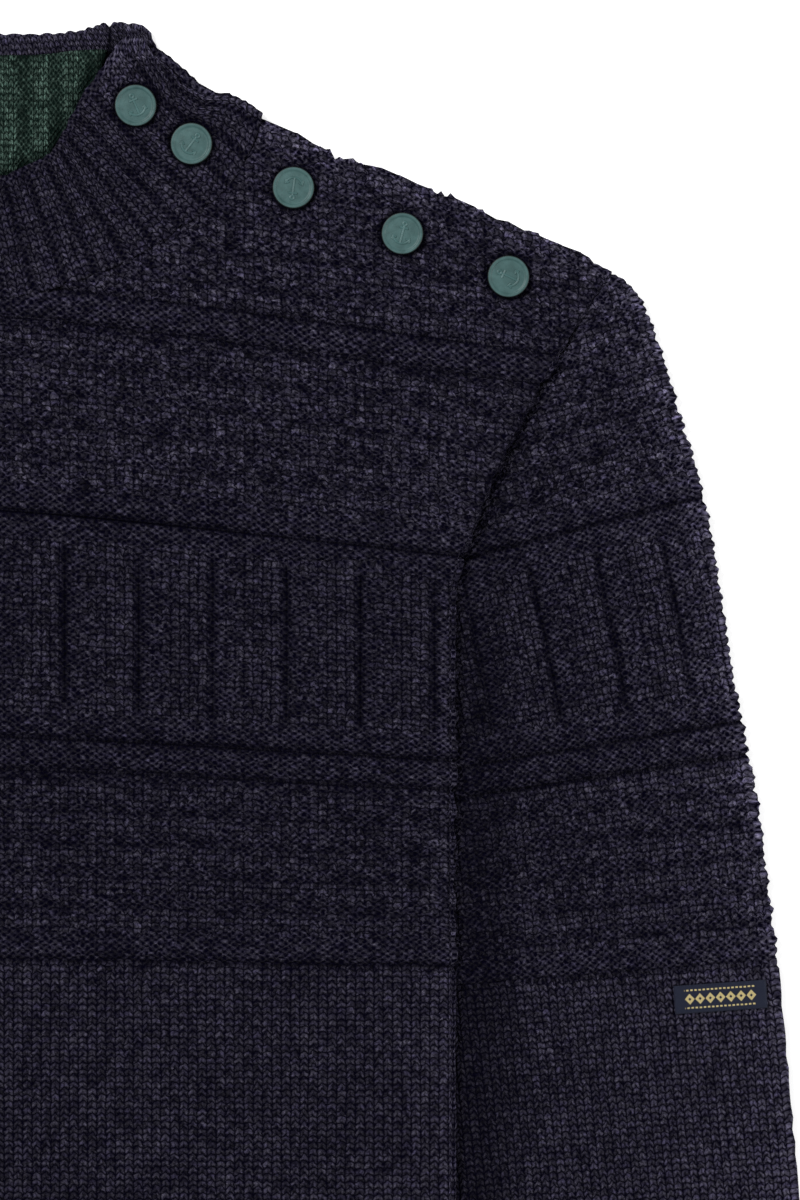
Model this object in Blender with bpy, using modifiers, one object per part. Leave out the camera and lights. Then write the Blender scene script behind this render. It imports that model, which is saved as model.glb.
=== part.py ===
"""Guernsey fisherman sweater with a buttoned left shoulder, laid flat with its front up.

Lengths are in millimetres until point() turns them into coordinates. +X is the wearer's left,
+Y points to the neck, +Z is up, and the back lies on Z = 0. A drop is the distance down the
garment from the corner where the collar's base meets the shoulder. A height is that of a wall's
underside above the surface, and the layers of the stack are one PITCH apart.
"""

from collections import namedtuple
from math import cos, pi, radians, sin, tan

import bmesh
import bpy
from mathutils import Vector

# Cloth: a five-ply worsted knitted tight
WALL = 2.6
PITCH = 3.0
SEAM = 0.7
FOLD = PITCH / 2
FOLD_REACH = FOLD + WALL / 2
ARC_STEPS = 4

# Body
NECK_HALF = 131.4
FRONT_NECK_DROP = 75.0
BACK_NECK_DROP = 26.0
NECK_ROUND = 0.62
SHOULDER_STEP = 2.3
TIP_HALF = 267.0
TIP_DROP = 62.0
SHOULDER_CROWN = 3.0
BODY_HALF = 207.0
YOKE_DROP = 190.0
ARMHOLE_BOW = 1.45
SHOULDER_KEEP = 0.62
HEM_DROP = 604.0
HEM_DEEP = 65.0

# Side of the body, tucked in between front and back, with the sleeve between its two flaps
TUCK_START = 176.0
UNDERARM_DROP = 287.0
TUCK_TOP = 7.0
TUCK_COLUMNS = 4
SETTLE = 60.0
SETTLE_MARGIN = 12.0
FLAP_MARGIN = 24.0
FLAP_FALL = 30.0

# Sleeve, which leaves the body's edge 5.6 degrees off the garment's length
SLEEVE_END = 501.0
SLEEVE_SLANT = 0.4056
SLEEVE_TILT = radians(5.6)
RISE_START = 74.0
RISE_END = 160.0
LANDING_START = 14.0
LANDING = 30.0
SLEEVE_COLUMNS = 8
CUFF_DEEP = 75.0
CUFF_HALF = 50.0
CUFF_END_HALF = 46.0

# Collar, its green facing and the stand under the buttoned edge
COLLAR_HEIGHT = 2 * PITCH
COLLAR_FOLD = PITCH
COLLAR_ARCH = 5.0
ARCH_SPREAD = 0.78
COLLAR_ROWS = 4
FACING_WALL = 2.0
FACING_RIM = 5.5
STAND_WALL = 2.4
LIFT_FADE = 25.0
STAND_COVER = 51.0
COVER_START, COVER_RUN = 60.0, 50.0
STAND_TIP = 244.0

# Buttons and tab
BUTTON_RADIUS = 8.15
BUTTON_THICK = 3.2
BUTTON_RIM = 1.3
BUTTON_DISH = 0.5
BUTTON_ROUND = 0.6
BUTTON_FOOT = 6.0
BUTTON_STEPS = 20
ON_CLOTH = 0.4
TAB_LONG, TAB_WIDE, TAB_THICK = 36.0, 11.0, 0.8
TAB_X, TAB_DROP, TAB_TILT = 310.0, 344.4, radians(4.0)

COLLAR_TOP = -35.0
MIDDLE_DROP = (COLLAR_TOP + HEM_DROP + SEAM + HEM_DEEP) / 2
MM = 0.001

# Ribs of the collar's front: where each starts on the neckline and ends on the top edge
Rib = namedtuple("Rib", "base_x top_x top_drop")
FRONT_RIBS = (
    Rib(0, 0, 30), Rib(26, 18.5, 28.3), Rib(50, 35.5, 23.5), Rib(72, 49.5, 16),
    Rib(92, 55.5, 6), Rib(109, 63, -8.5), Rib(121, 71.5, -26), Rib(128, 78, -35),
    Rib(NECK_HALF, 89, -28),
)
BACK_RIBS = (
    Rib(0, 0, -30), Rib(36, 27, -30.3), Rib(70, 53, -30.8), Rib(100, 69, -32),
    Rib(121, 79, -32), Rib(NECK_HALF, 89, -28),
)
FACING_COLUMNS = (0.0, 0.35, 0.7, 1.0)
FACING_BASE_HALF, FACING_TOP_HALF = 60.0, 73.0

# Outer edge of the sleeve, from the shoulder's tip to the wrist
Edge = namedtuple("Edge", "drop outer")
SLEEVE_OUTLINE = (
    Edge(62, 267), Edge(68, 277.5), Edge(84, 283.5), Edge(112, 292.9), Edge(153, 304.2),
    Edge(217, 315.1), Edge(295, 328.4), Edge(417, 340.5), Edge(501, 348.7),
)
SLEEVE_ROWS = (63.5, 70, 80, 93, 108, 125, 143, 160, 176, 190, 222, 254, UNDERARM_DROP,
               330, 373, 416, 459, SLEEVE_END)

# Rows of the body: in the yoke as a share of its depth, below it as drops
YOKE_ROWS = (0.0, 0.08, 0.2, 0.35, 0.5, 0.65, 0.8, (TUCK_START - TIP_DROP) / (YOKE_DROP - TIP_DROP))
BODY_ROWS = (YOKE_DROP, 237, UNDERARM_DROP, 340, 393, 446, 499, 552, HEM_DROP)
BACK_BODY_ROWS = (YOKE_DROP, UNDERARM_DROP, HEM_DROP)
SHOULDER_COLUMNS = 6

# Button stand: its outer and inner edge at the collar, at the corner and near the tip
Stand = namedtuple("Stand", "outer_x outer_drop inner_x inner_drop")
STAND_STATIONS = (
    Stand(88, -25, 70, 2.5), Stand(129.5, 1.2, 113, 34), Stand(242, 51, 228, 83),
)

Button = namedtuple("Button", "name x drop on_collar")
BUTTONS = (
    Button("button_collar_1", 82.7, -3.1, True), Button("button_collar_2", 103.7, 11.7, True),
    Button("button_shoulder_1", 143.9, 29.3, False), Button("button_shoulder_2", 186.0, 46.8, False),
    Button("button_shoulder_3", 227.8, 63.2, False),
)

NAVY = (0.013, 0.012, 0.021, 1.0)
GREEN = (0.018, 0.038, 0.030, 1.0)
BUTTON_GREEN = (0.08, 0.16, 0.155, 1.0)
TAB_BLUE = (0.010, 0.013, 0.034, 1.0)


def point(x, drop, height):
    return Vector((x, MIDDLE_DROP - drop, height)) * MM


def ease(share):
    share = min(max(share, 0.0), 1.0)
    return share * share * (3 - 2 * share)


def blend(start, end, share):
    return start + (end - start) * share


# Outlines

def neck_drop(x, depth):
    """Neckline: a flat round at the middle, running out at the shoulder's corner."""
    share = min(abs(x) / NECK_HALF, 1.0)
    return SHOULDER_STEP + (depth - SHOULDER_STEP) * (1 - share ** 2) ** NECK_ROUND


def shoulder_drop(x):
    share = (abs(x) - NECK_HALF) / (TIP_HALF - NECK_HALF)
    crown = 4 * SHOULDER_CROWN * share * (1 - share)
    return blend(SHOULDER_STEP, TIP_DROP, share) - crown


def top_drop(x, depth):
    return neck_drop(x, depth) if abs(x) <= NECK_HALF else shoulder_drop(x)


def armhole_half(drop):
    """The visible half width: the armhole draws in from the tip to the straight side."""
    share = min(max((drop - TIP_DROP) / (YOKE_DROP - TIP_DROP), 0.0), 1.0)
    return BODY_HALF + (TIP_HALF - BODY_HALF) * (1 - share) ** ARMHOLE_BOW


def tuck_width():
    side = BODY_HALF - FOLD_REACH
    neck_low = low_half(NECK_HALF)
    return TUCK_COLUMNS * (side - neck_low) / SHOULDER_COLUMNS


def low_half(top_x):
    """Where a column that starts at this place on the top edge runs down the body."""
    side = BODY_HALF - FOLD_REACH
    neck_low = side - (TIP_HALF - NECK_HALF) * SHOULDER_KEEP
    if top_x <= NECK_HALF:
        return neck_low * top_x / NECK_HALF
    return blend(neck_low, side, (top_x - NECK_HALF) / (TIP_HALF - NECK_HALF))


def tuck_edge(drop):
    """Free edge of the tucked side, from the armhole's hidden half to the side seam."""
    side = armhole_half(drop) - FOLD_REACH
    share = min((drop - TUCK_START) / (UNDERARM_DROP - TUCK_START), 1.0)
    return side - blend(TUCK_TOP, tuck_width(), share)


def sleeve_inner(drop):
    """The sleeve's inner side: the hidden seam, then the fold that runs to the wrist."""
    underarm = BODY_HALF - FOLD_REACH - tuck_width()
    if drop >= UNDERARM_DROP:
        return underarm + SLEEVE_SLANT * (drop - UNDERARM_DROP)
    if drop <= TUCK_START:
        return armhole_half(drop) + SEAM
    share = (drop - TUCK_START) / (UNDERARM_DROP - TUCK_START)
    return blend(armhole_half(TUCK_START) + SEAM, underarm, share)


def sleeve_outer(drop):
    """Cubic through the outline's rows, with the slope at each from its two neighbours."""
    rows = SLEEVE_OUTLINE
    last = len(rows) - 2
    first = max(i for i in range(last + 1) if i == 0 or rows[i].drop <= drop)

    def slope(i):
        before, after = rows[max(i - 1, 0)], rows[min(i + 1, last + 1)]
        return (after.outer - before.outer) / (after.drop - before.drop)

    start, end = rows[first], rows[first + 1]
    span = end.drop - start.drop
    t = (drop - start.drop) / span
    value = (2 * t ** 3 - 3 * t ** 2 + 1) * start.outer + (3 * t ** 2 - 2 * t ** 3) * end.outer
    value += (t ** 3 - 2 * t ** 2 + t) * span * slope(first)
    return value + (t ** 3 - t ** 2) * span * slope(first + 1)


# Heights of the stacked layers

def stack_rise(drop):
    """Share of the full stack at the body's edge: none at the tip, all of it by the tuck."""
    return ease((drop - RISE_START) / (RISE_END - RISE_START))


def sleeve_height(x, drop):
    """On the back's flap beside the body, down on the surface clear of it."""
    clear = abs(x) - armhole_half(drop) - LANDING_START
    return 2 * PITCH * stack_rise(drop) * (1 - ease(clear / LANDING))


def flap_height(x, drop):
    """The front's flap lies on the sleeve, and on the back's flap where the sleeve has left."""
    if drop <= UNDERARM_DROP:
        return 4 * PITCH
    clear = sleeve_inner(drop) - FLAP_MARGIN - abs(x)
    return 2 * PITCH * (2 - ease(clear / FLAP_FALL))


def front_height(x, drop):
    """The front lies on its flaps at the sides and settles on the back in the middle."""
    tucked = drop >= TUCK_START
    inner = tuck_edge(drop) if tucked else armhole_half(drop)
    if tucked:
        beside = flap_height(max(abs(x), inner), drop) + PITCH
    else:
        beside = PITCH * (1 + 4 * stack_rise(drop))
    settled = ease((inner - SETTLE_MARGIN - abs(x)) / SETTLE)
    return blend(beside, PITCH, settled) + seam_lift(x, drop)


def seam_lift(x, drop):
    """One more layer up at the collar's base and over the button stand."""
    below = drop - top_drop(min(abs(x), TIP_HALF), FRONT_NECK_DROP)
    if x > 0:
        cover = STAND_COVER * ease((x - COVER_START) / COVER_RUN)
        reach = 1 - ease((x - STAND_TIP) / (TIP_HALF - STAND_TIP))
    else:
        cover = 0
        reach = 1 - ease((-x - NECK_HALF) / LIFT_FADE)
    return PITCH * reach * (1 - ease((below - cover) / LIFT_FADE))


def collar_height(share, up):
    """The front of the collar arches a little over the green, most at the middle of its rim."""
    return COLLAR_HEIGHT + COLLAR_ARCH * up ** 2 * max(0.0, 1 - (share / ARCH_SPREAD) ** 2)


# Meshes

def add_object(name, mesh, material):
    mesh.materials.append(material)
    obj = bpy.data.objects.new(name, mesh)
    sweater.objects.link(obj)
    return obj


def add_cloth(name, rows, material, wall=WALL, closed=False, even=True):
    """A wall on a sheet of points; a place that holds None has no cloth."""
    bm = bmesh.new()
    grid = [[spot and bm.verts.new(spot) for spot in row] for row in rows]
    columns = len(grid[0])
    for upper, lower in zip(grid, grid[1:]):
        for i in range(columns if closed else columns - 1):
            after = (i + 1) % columns
            corners = (upper[i], lower[i], lower[after], upper[after])
            if None not in corners:
                bm.faces.new(corners)
    loose = [vert for vert in bm.verts if not vert.link_faces]
    bmesh.ops.delete(bm, geom=loose, context="VERTS")
    mesh = bpy.data.meshes.new(name)
    bm.to_mesh(mesh)
    bm.free()
    obj = add_object(name, mesh, material)
    solidify = obj.modifiers.new("Wall", "SOLIDIFY")
    solidify.thickness = wall * MM
    solidify.offset = 0
    solidify.use_even_offset = even
    solidify.use_quality_normals = even
    return obj


def arc(centre_x, drop, height, side, step_drop=0.0, radius=FOLD):
    """Points between two layers, round a fold whose lower layer has this height."""
    spots = []
    for k in range(1, ARC_STEPS):
        angle = pi / 2 - pi * k / ARC_STEPS
        reach = radius * cos(angle)
        rise = radius * (1 + sin(angle))
        spots.append(point(centre_x + side * reach, drop + step_drop * reach, height + WALL / 2 + rise))
    return spots


# Panels of the body

def panel_columns(ribs):
    half = [rib.base_x for rib in ribs]
    step = (TIP_HALF - NECK_HALF) / SHOULDER_COLUMNS
    half += [NECK_HALF + step * k for k in range(1, SHOULDER_COLUMNS + 1)]
    return [-x for x in reversed(half[1:])] + half


def panel_places(ribs, neck_depth, body_rows):
    """Rows of (x, drop), each with whether the side is tucked there."""
    columns = panel_columns(ribs)
    places = []
    for share in YOKE_ROWS:
        row = []
        tucked = share == YOKE_ROWS[-1]
        for top_x in columns:
            low = low_half(abs(top_x))
            x = low + (abs(top_x) - low) * (1 - share) ** ARMHOLE_BOW
            drop = blend(top_drop(top_x, neck_depth), YOKE_DROP, share)
            if abs(top_x) == TIP_HALF:
                x = armhole_half(drop) - (FOLD_REACH if tucked else 0)
            row.append((x if top_x >= 0 else -x, drop))
        places.append((row, tucked))
    for drop in body_rows:
        row = [(low_half(abs(x)) * (1 if x >= 0 else -1), drop) for x in columns]
        places.append((row, True))
    return places


def side_tuck(side_x, drop, height, side, front):
    """Fold and flap of one side, from the body's edge in to the flap's free edge."""
    if front:
        spots = arc(side_x, drop, height(side_x, drop) - PITCH, side)
    else:
        spots = arc(side_x, drop, 0.0, side)[::-1]
    for k in range(TUCK_COLUMNS + 1):
        x = side * blend(abs(side_x), tuck_edge(drop), k / TUCK_COLUMNS)
        z = height(x, drop) - PITCH if front else PITCH
        spots.append(point(x, drop, z + WALL / 2))
    return spots


def panel_sheet(places, height, front):
    absent = [None] * (TUCK_COLUMNS + ARC_STEPS)
    rows = []
    for row, tucked in places:
        panel = [point(x, drop, height(x, drop) + WALL / 2) for x, drop in row]
        right, left = absent, absent
        if tucked:
            right = side_tuck(*row[0], height, -1, front)[::-1]
            left = side_tuck(*row[-1], height, 1, front)
        rows.append(right + panel + left)
    return rows


def flat(x, drop):
    return 0.0


def add_body(material):
    front = panel_places(FRONT_RIBS, FRONT_NECK_DROP, BODY_ROWS)
    add_cloth("front", panel_sheet(front, front_height, True), material)
    back = panel_places(BACK_RIBS, BACK_NECK_DROP, BACK_BODY_ROWS)
    add_cloth("back", panel_sheet(back, flat, False), material)


def add_hems(material):
    """Rib bands that carry on the panels' last row."""
    for name, ribs, is_front in (("hem_front", FRONT_RIBS, True), ("hem_back", BACK_RIBS, False)):
        places = []
        for drop in (HEM_DROP + SEAM, HEM_DROP + SEAM + HEM_DEEP):
            row = [(low_half(abs(x)) * (1 if x >= 0 else -1), drop) for x in panel_columns(ribs)]
            places.append((row, True))
        height = front_height if is_front else flat
        add_cloth(name, panel_sheet(places, height, is_front), material)


# Sleeves and cuffs

def tube_row(inner, outer, drop_at, height_at, side, sewn):
    """One section of a flattened tube; a sewn one is open on its inner side."""
    start = inner if sewn else inner + FOLD_REACH
    end = outer - FOLD_REACH
    across = [blend(start, end, k / SLEEVE_COLUMNS) for k in range(SLEEVE_COLUMNS + 1)]
    slope = drop_at(end + 1) - drop_at(end)
    upper = [point(side * x, drop_at(x), height_at(x) + PITCH + WALL / 2) for x in across]
    lower = [point(side * x, drop_at(x), height_at(x) + WALL / 2) for x in across]
    outer_arc = arc(side * end, drop_at(end), height_at(end), side, slope)
    inner_arc = [None] * (ARC_STEPS - 1)
    if not sewn:
        inner_arc = arc(side * start, drop_at(start), height_at(start), -side, -slope)[::-1]
    return upper + outer_arc + lower[::-1] + inner_arc


def add_sleeve(side, name, material):
    rows = []
    middle = (sleeve_inner(SLEEVE_END) + sleeve_outer(SLEEVE_END)) / 2
    for level in SLEEVE_ROWS:
        turn = tan(SLEEVE_TILT) * ease((level - UNDERARM_DROP) / (SLEEVE_END - UNDERARM_DROP))

        def drop_at(x, level=level, turn=turn):
            return level - (x - middle) * turn

        def height_at(x, level=level):
            return sleeve_height(x, level)

        sewn = level < UNDERARM_DROP
        rows.append(tube_row(sleeve_inner(level), sleeve_outer(level), drop_at, height_at, side, sewn))
    add_cloth(name, rows, material, closed=True)


def add_cuff(side, name, material):
    """A rib band along the sleeve's own direction, a little narrower than the sleeve."""
    middle = (sleeve_inner(SLEEVE_END) + sleeve_outer(SLEEVE_END)) / 2
    rows = []
    for along, half in ((SEAM, CUFF_HALF), (CUFF_DEEP / 4, CUFF_END_HALF), (CUFF_DEEP, CUFF_END_HALF)):
        centre = middle + along * sin(SLEEVE_TILT)
        level = SLEEVE_END + along * cos(SLEEVE_TILT)

        def drop_at(x, level=level, centre=centre):
            return level - (x - centre) * tan(SLEEVE_TILT)

        rows.append(tube_row(centre - half, centre + half, drop_at, lambda x: 0.0, side, False))
    add_cloth(name, rows, material, closed=True)


# Collar

def rib_ends(rib, neck_depth):
    """Base and top of one rib; the base stands a seam's gap off the neckline."""
    base = Vector((rib.base_x, neck_drop(rib.base_x, neck_depth)))
    if rib.base_x == NECK_HALF:
        base.y = 0.0
    top = Vector((rib.top_x, rib.top_drop))
    return base + (top - base).normalized() * SEAM, top


def mirrored(ends, inset):
    """The rib's ends on the wearer's right, drawn in from the outline by inset."""
    return [Vector((-end.x + inset.x, end.y + inset.y)) for end in ends]


def add_collar(material):
    """One ribbed strip: over the front from its buttoned end, round the fold, along the back."""
    front = [rib_ends(rib, FRONT_NECK_DROP) for rib in FRONT_RIBS]
    back = [rib_ends(rib, BACK_NECK_DROP) for rib in BACK_RIBS]
    side = front[-1][0] - front[-1][1]
    inward = Vector((side.y, side.x)).normalized()
    none = Vector((0, 0))
    inset = inward * (COLLAR_FOLD + WALL / 2)
    over = front[::-1] + [mirrored(ends, none) for ends in front[1:-1]] + [mirrored(front[-1], inset)]
    under = [mirrored(back[-1], inset)] + [mirrored(ends, none) for ends in back[-2:0:-1]] + back
    rows = []
    for step in range(COLLAR_ROWS):
        up = step / (COLLAR_ROWS - 1)
        row = []
        for base, top in over:
            x, drop = base.lerp(top, up)
            share = base.x / NECK_HALF
            row.append(point(x, drop, collar_height(share, up) + WALL / 2))
        x, drop = over[-1][0].lerp(over[-1][1], up)
        for k in range(1, ARC_STEPS):
            angle = pi / 2 - pi * k / ARC_STEPS
            out = inward * (-COLLAR_FOLD * cos(angle))
            row.append(point(x + out.x, drop + out.y, WALL / 2 + COLLAR_FOLD * (1 + sin(angle))))
        for base, top in under:
            x, drop = base.lerp(top, up)
            row.append(point(x, drop, WALL / 2))
        rows.append(row)
    add_cloth("collar", rows, material, even=False)


def add_facing(material):
    """Green rib inside the back of the collar, below its navy rim."""
    shares = [-share for share in reversed(FACING_COLUMNS[1:])] + list(FACING_COLUMNS)
    rows = []
    for up in (0.0, 0.5, 1.0):
        row = []
        for share in shares:
            base = neck_drop(share * FACING_BASE_HALF, BACK_NECK_DROP) - SEAM
            top = BACK_RIBS[0].top_drop + FACING_RIM
            x = share * blend(FACING_BASE_HALF, FACING_TOP_HALF, up)
            row.append(point(x, blend(base, top, up), PITCH + FACING_WALL / 2))
        rows.append(row)
    add_cloth("collar_facing", rows, material, FACING_WALL)


def add_stand(material):
    """Strip on the back's shoulder edge that lies under the front and takes the buttons."""
    height = PITCH + STAND_WALL / 2
    rows = []
    for station in STAND_STATIONS:
        outer = point(station.outer_x, station.outer_drop, height)
        inner = point(station.inner_x, station.inner_drop, height)
        rows.append([outer, inner])
    add_cloth("button_stand", rows, material, STAND_WALL)


# Buttons and tab

def button_profile():
    """Half section from the middle of the face, over the rim, to the middle of the back."""
    top, face = BUTTON_THICK, BUTTON_THICK - BUTTON_DISH
    rim = BUTTON_RADIUS - BUTTON_RIM
    edge = BUTTON_RADIUS - BUTTON_ROUND
    return ((0, face), (rim - BUTTON_DISH, face), (rim, top), (edge, top),
            (BUTTON_RADIUS, top - BUTTON_ROUND), (edge, BUTTON_ROUND), (BUTTON_FOOT, 0), (0, 0))


def add_buttons(material):
    mesh = bpy.data.meshes.new("button")
    profile = [Vector((radius, 0, height)) * MM for radius, height in button_profile()]
    mesh.from_pydata(profile, [(i, i + 1) for i in range(len(profile) - 1)], [])
    mesh.materials.append(material)
    for button in BUTTONS:
        obj = bpy.data.objects.new(button.name, mesh)
        sweater.objects.link(obj)
        under = COLLAR_HEIGHT if button.on_collar else front_height(button.x, button.drop)
        obj.location = point(button.x, button.drop, under + WALL + ON_CLOTH)
        turn = obj.modifiers.new("Turn", "SCREW")
        turn.steps = turn.render_steps = BUTTON_STEPS
        turn.use_merge_vertices = True
        turn.merge_threshold = 0.00001


def add_tab(material):
    bpy.ops.mesh.primitive_cube_add(size=1)
    obj = bpy.context.object
    obj.name = "sleeve_label"
    obj.dimensions = (TAB_LONG * MM, TAB_WIDE * MM, TAB_THICK * MM)
    obj.location = point(TAB_X, TAB_DROP, PITCH + WALL + ON_CLOTH + TAB_THICK / 2)
    obj.rotation_euler.z = TAB_TILT
    obj.data.materials.append(material)
    for holder in obj.users_collection:
        holder.objects.unlink(obj)
    sweater.objects.link(obj)


def add_material(name, colour, roughness):
    material = bpy.data.materials.new(name)
    material.use_nodes = True
    shader = material.node_tree.nodes["Principled BSDF"]
    shader.inputs["Base Color"].default_value = colour
    shader.inputs["Roughness"].default_value = roughness
    shader.inputs["Metallic"].default_value = 0.0
    material.diffuse_color = colour
    return material


for old in list(bpy.data.objects):
    bpy.data.objects.remove(old)
sweater = bpy.data.collections.new("guernsey_sweater")
bpy.context.scene.collection.children.link(sweater)

navy_wool = add_material("navy_wool", NAVY, 0.9)
green_wool = add_material("green_wool", GREEN, 0.9)
button_resin = add_material("button_resin", BUTTON_GREEN, 0.45)
tab_weave = add_material("tab_weave", TAB_BLUE, 0.7)

add_body(navy_wool)
add_hems(navy_wool)
for side, word in ((1, "left"), (-1, "right")):
    add_sleeve(side, "sleeve_" + word, navy_wool)
    add_cuff(side, "cuff_" + word, navy_wool)
add_collar(navy_wool)
add_facing(green_wool)
add_stand(navy_wool)
add_buttons(button_resin)
add_tab(tab_weave)
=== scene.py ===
from math import cos, pi, radians, sin, tan

import bmesh
import bpy
import numpy as np
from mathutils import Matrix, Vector


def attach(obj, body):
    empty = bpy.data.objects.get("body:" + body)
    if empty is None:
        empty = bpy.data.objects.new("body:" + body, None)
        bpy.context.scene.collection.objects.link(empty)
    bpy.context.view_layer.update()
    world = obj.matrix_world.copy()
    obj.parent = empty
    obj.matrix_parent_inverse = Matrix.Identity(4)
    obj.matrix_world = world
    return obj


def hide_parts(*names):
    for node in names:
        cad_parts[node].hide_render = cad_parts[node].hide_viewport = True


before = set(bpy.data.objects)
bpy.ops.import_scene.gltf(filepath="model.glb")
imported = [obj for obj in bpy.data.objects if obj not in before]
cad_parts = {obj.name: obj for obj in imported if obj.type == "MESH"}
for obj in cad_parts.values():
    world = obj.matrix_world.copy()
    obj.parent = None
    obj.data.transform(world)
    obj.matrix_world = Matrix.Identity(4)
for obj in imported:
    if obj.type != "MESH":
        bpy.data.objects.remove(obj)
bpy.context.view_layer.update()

mm = 0.001

# The sweater lies face up. x runs to the wearer's left, a drop runs down from the corner where the
# collar meets the shoulder, z is up from the table. All in mm until a mesh is made.
cut = {
    "middleDrop": 317.35, "wall": 2.6, "layer": 3, "seam": 0.7,
    "neckHalf": 131.4, "frontNeck": 75, "backNeck": 26, "neckRound": 0.62, "shoulderStep": 2.3,
    "tipHalf": 267, "tipDrop": 62, "crown": 3,
    "bodyHalf": 207, "yokeDrop": 190, "armholeBow": 1.45,
    "tuckStart": 176, "underarm": 287, "tuckTop": 7, "tuckWide": 56.1,
    "hemDrop": 604, "hemDeep": 65,
    "sleeveEnd": 501, "sleeveSlant": 0.4056, "sleeveTilt": radians(5.6),
    "cuffDeep": 75, "cuffHalf": 50, "cuffEndHalf": 46, "foldRun": 16,
}
stitch = {"wale": 3.6, "course": 2.53, "waleFrom": 2.4, "sleeveFrom": 1.9}
foldReach = 2.8
halfWall = cut["wall"] / 2


def ease(t):
    t = np.clip(t, 0, 1)
    return t * t * (3 - 2 * t)


def rising(t, start, run):
    # 0 up to the start, 1 once the run is over; each "Span" in a dictionary holds the two
    return ease((t - start) / run)


def mix(a, b, t):
    # of numbers, arrays or the outputs of nodes
    return a + (b - a) * t


def hump(t, width):
    # 1 at t = 0, falling smoothly to 0 at width either side
    return 1 - ease(np.abs(t) / width)


def through(x, places, values):
    # a smooth curve through a few places, flat past its ends
    places, values = np.array(places, float), np.array(values, float)
    slopes = np.gradient(values, places)
    x = np.clip(x, places[0], places[-1])
    i = np.clip(np.searchsorted(places, x, side="right") - 1, 0, len(places) - 2)
    span = places[i + 1] - places[i]
    t = (x - places[i]) / span
    value = (2 * t**3 - 3 * t**2 + 1) * values[i] + (3 * t**2 - 2 * t**3) * values[i + 1]
    return value + span * ((t**3 - 2 * t**2 + t) * slopes[i] + (t**3 - t**2) * slopes[i + 1])


def ripple(x, y, seed):
    # a slow, even-handed wobble between about -1 and 1
    total = np.zeros(np.broadcast(x, y).shape)
    for k in range(1, 5):
        turn = seed * 1.7 + k * 2.4
        total = total + np.sin((x * cos(turn) + y * sin(turn)) * (0.6 + 0.5 * k) + seed * 3.1 * k) / k
    return total / 1.6


# outlines of the cut
def neckDrop(x, depth):
    share = np.minimum(np.abs(x) / cut["neckHalf"], 1)
    return cut["shoulderStep"] + (depth - cut["shoulderStep"]) * (1 - share**2) ** cut["neckRound"]


# how far the shoulder settles below its cut line
shoulderSag = ((131.4, 141, 158, 170, 184, 193, 203, 212, 226, 238, 248, 262, 267),
               (0.4, 2.6, 4.2, 3.3, 2.2, 1.9, 0.7, 1.5, 2.3, 0, 0, -1.3, -0.4))


def shoulderDrop(x):
    share = (np.abs(x) - cut["neckHalf"]) / (cut["tipHalf"] - cut["neckHalf"])
    line = mix(cut["shoulderStep"], cut["tipDrop"], share) - 4 * cut["crown"] * share * (1 - share)
    return line + through(np.abs(x), *shoulderSag)


def topDrop(x, depth):
    return np.where(np.abs(x) <= cut["neckHalf"], neckDrop(x, depth), shoulderDrop(x))


def armholeHalf(drop):
    share = np.clip((drop - cut["tipDrop"]) / (cut["yokeDrop"] - cut["tipDrop"]), 0, 1)
    return cut["bodyHalf"] + (cut["tipHalf"] - cut["bodyHalf"]) * (1 - share) ** cut["armholeBow"]


def tuckedShare(drop):
    # 0 where the sides begin to tuck under, 1 at the underarm
    return np.clip((drop - cut["tuckStart"]) / (cut["underarm"] - cut["tuckStart"]), 0, 1)


def tuckEdge(drop):
    return armholeHalf(drop) - foldReach - mix(cut["tuckTop"], cut["tuckWide"], tuckedShare(drop))


def sleeveInner(drop):
    underarm = cut["bodyHalf"] - foldReach - cut["tuckWide"]
    hidden = mix(armholeHalf(cut["tuckStart"]) + cut["seam"], underarm, tuckedShare(drop))
    below = underarm + cut["sleeveSlant"] * (drop - cut["underarm"])
    return np.where(drop >= cut["underarm"], below,
                    np.where(drop <= cut["tuckStart"], armholeHalf(drop) + cut["seam"], hidden))


sleeveOutline = ((62, 65, 68, 72, 77, 84, 98, 112, 153, 217, 295, 417, 501),
                 (267, 271.8, 275, 278, 280.7, 283.6, 288.2, 292.5, 304.2, 315.1, 328.4, 340.5, 348.7))


def sleeveOuter(drop):
    return through(drop, *sleeveOutline)


# Heights of the layers, each that of a wall's underside. The sleeve comes down to the table close
# beside the body, so that a dark hollow runs along its edge.
stack = {
    "riseSpan": (74, 86), "seamRun": 25, "cover": 51, "coverSpan": (60, 50), "liftSpan": (244, 23),
    "flapSpan": (24, 30), "settleSpan": (12, 60), "landingSpan": (3, 24),
}


def stackRise(drop):
    return rising(drop, *stack["riseSpan"])


def seamLift(x, drop):
    # the front lies over the button stand on the left, and over the shoulder seam on the right
    below = drop - topDrop(np.minimum(np.abs(x), cut["tipHalf"]), cut["frontNeck"])
    cover = np.where(x > 0, stack["cover"] * rising(x, *stack["coverSpan"]), 0)
    reach = 1 - np.where(x > 0, rising(x, *stack["liftSpan"]), rising(-x, cut["neckHalf"], stack["seamRun"]))
    return cut["layer"] * reach * (1 - rising(below, cover, stack["seamRun"]))


def flapHeight(x, drop):
    settled = rising(sleeveInner(drop) - np.abs(x), *stack["flapSpan"])
    return 2 * cut["layer"] * np.where(drop <= cut["underarm"], 2, 2 - settled)


def frontHeight(x, drop):
    tucked = drop >= cut["tuckStart"]
    inner = np.where(tucked, tuckEdge(drop), armholeHalf(drop))
    beside = np.where(tucked, flapHeight(np.maximum(np.abs(x), inner), drop) + cut["layer"],
                      cut["layer"] * (1 + 4 * stackRise(drop)))
    settled = rising(inner - np.abs(x), *stack["settleSpan"])
    return mix(beside, cut["layer"], settled) + seamLift(x, drop)


def flatHeight(x, drop):
    return np.zeros(np.broadcast(x, drop).shape)


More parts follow.
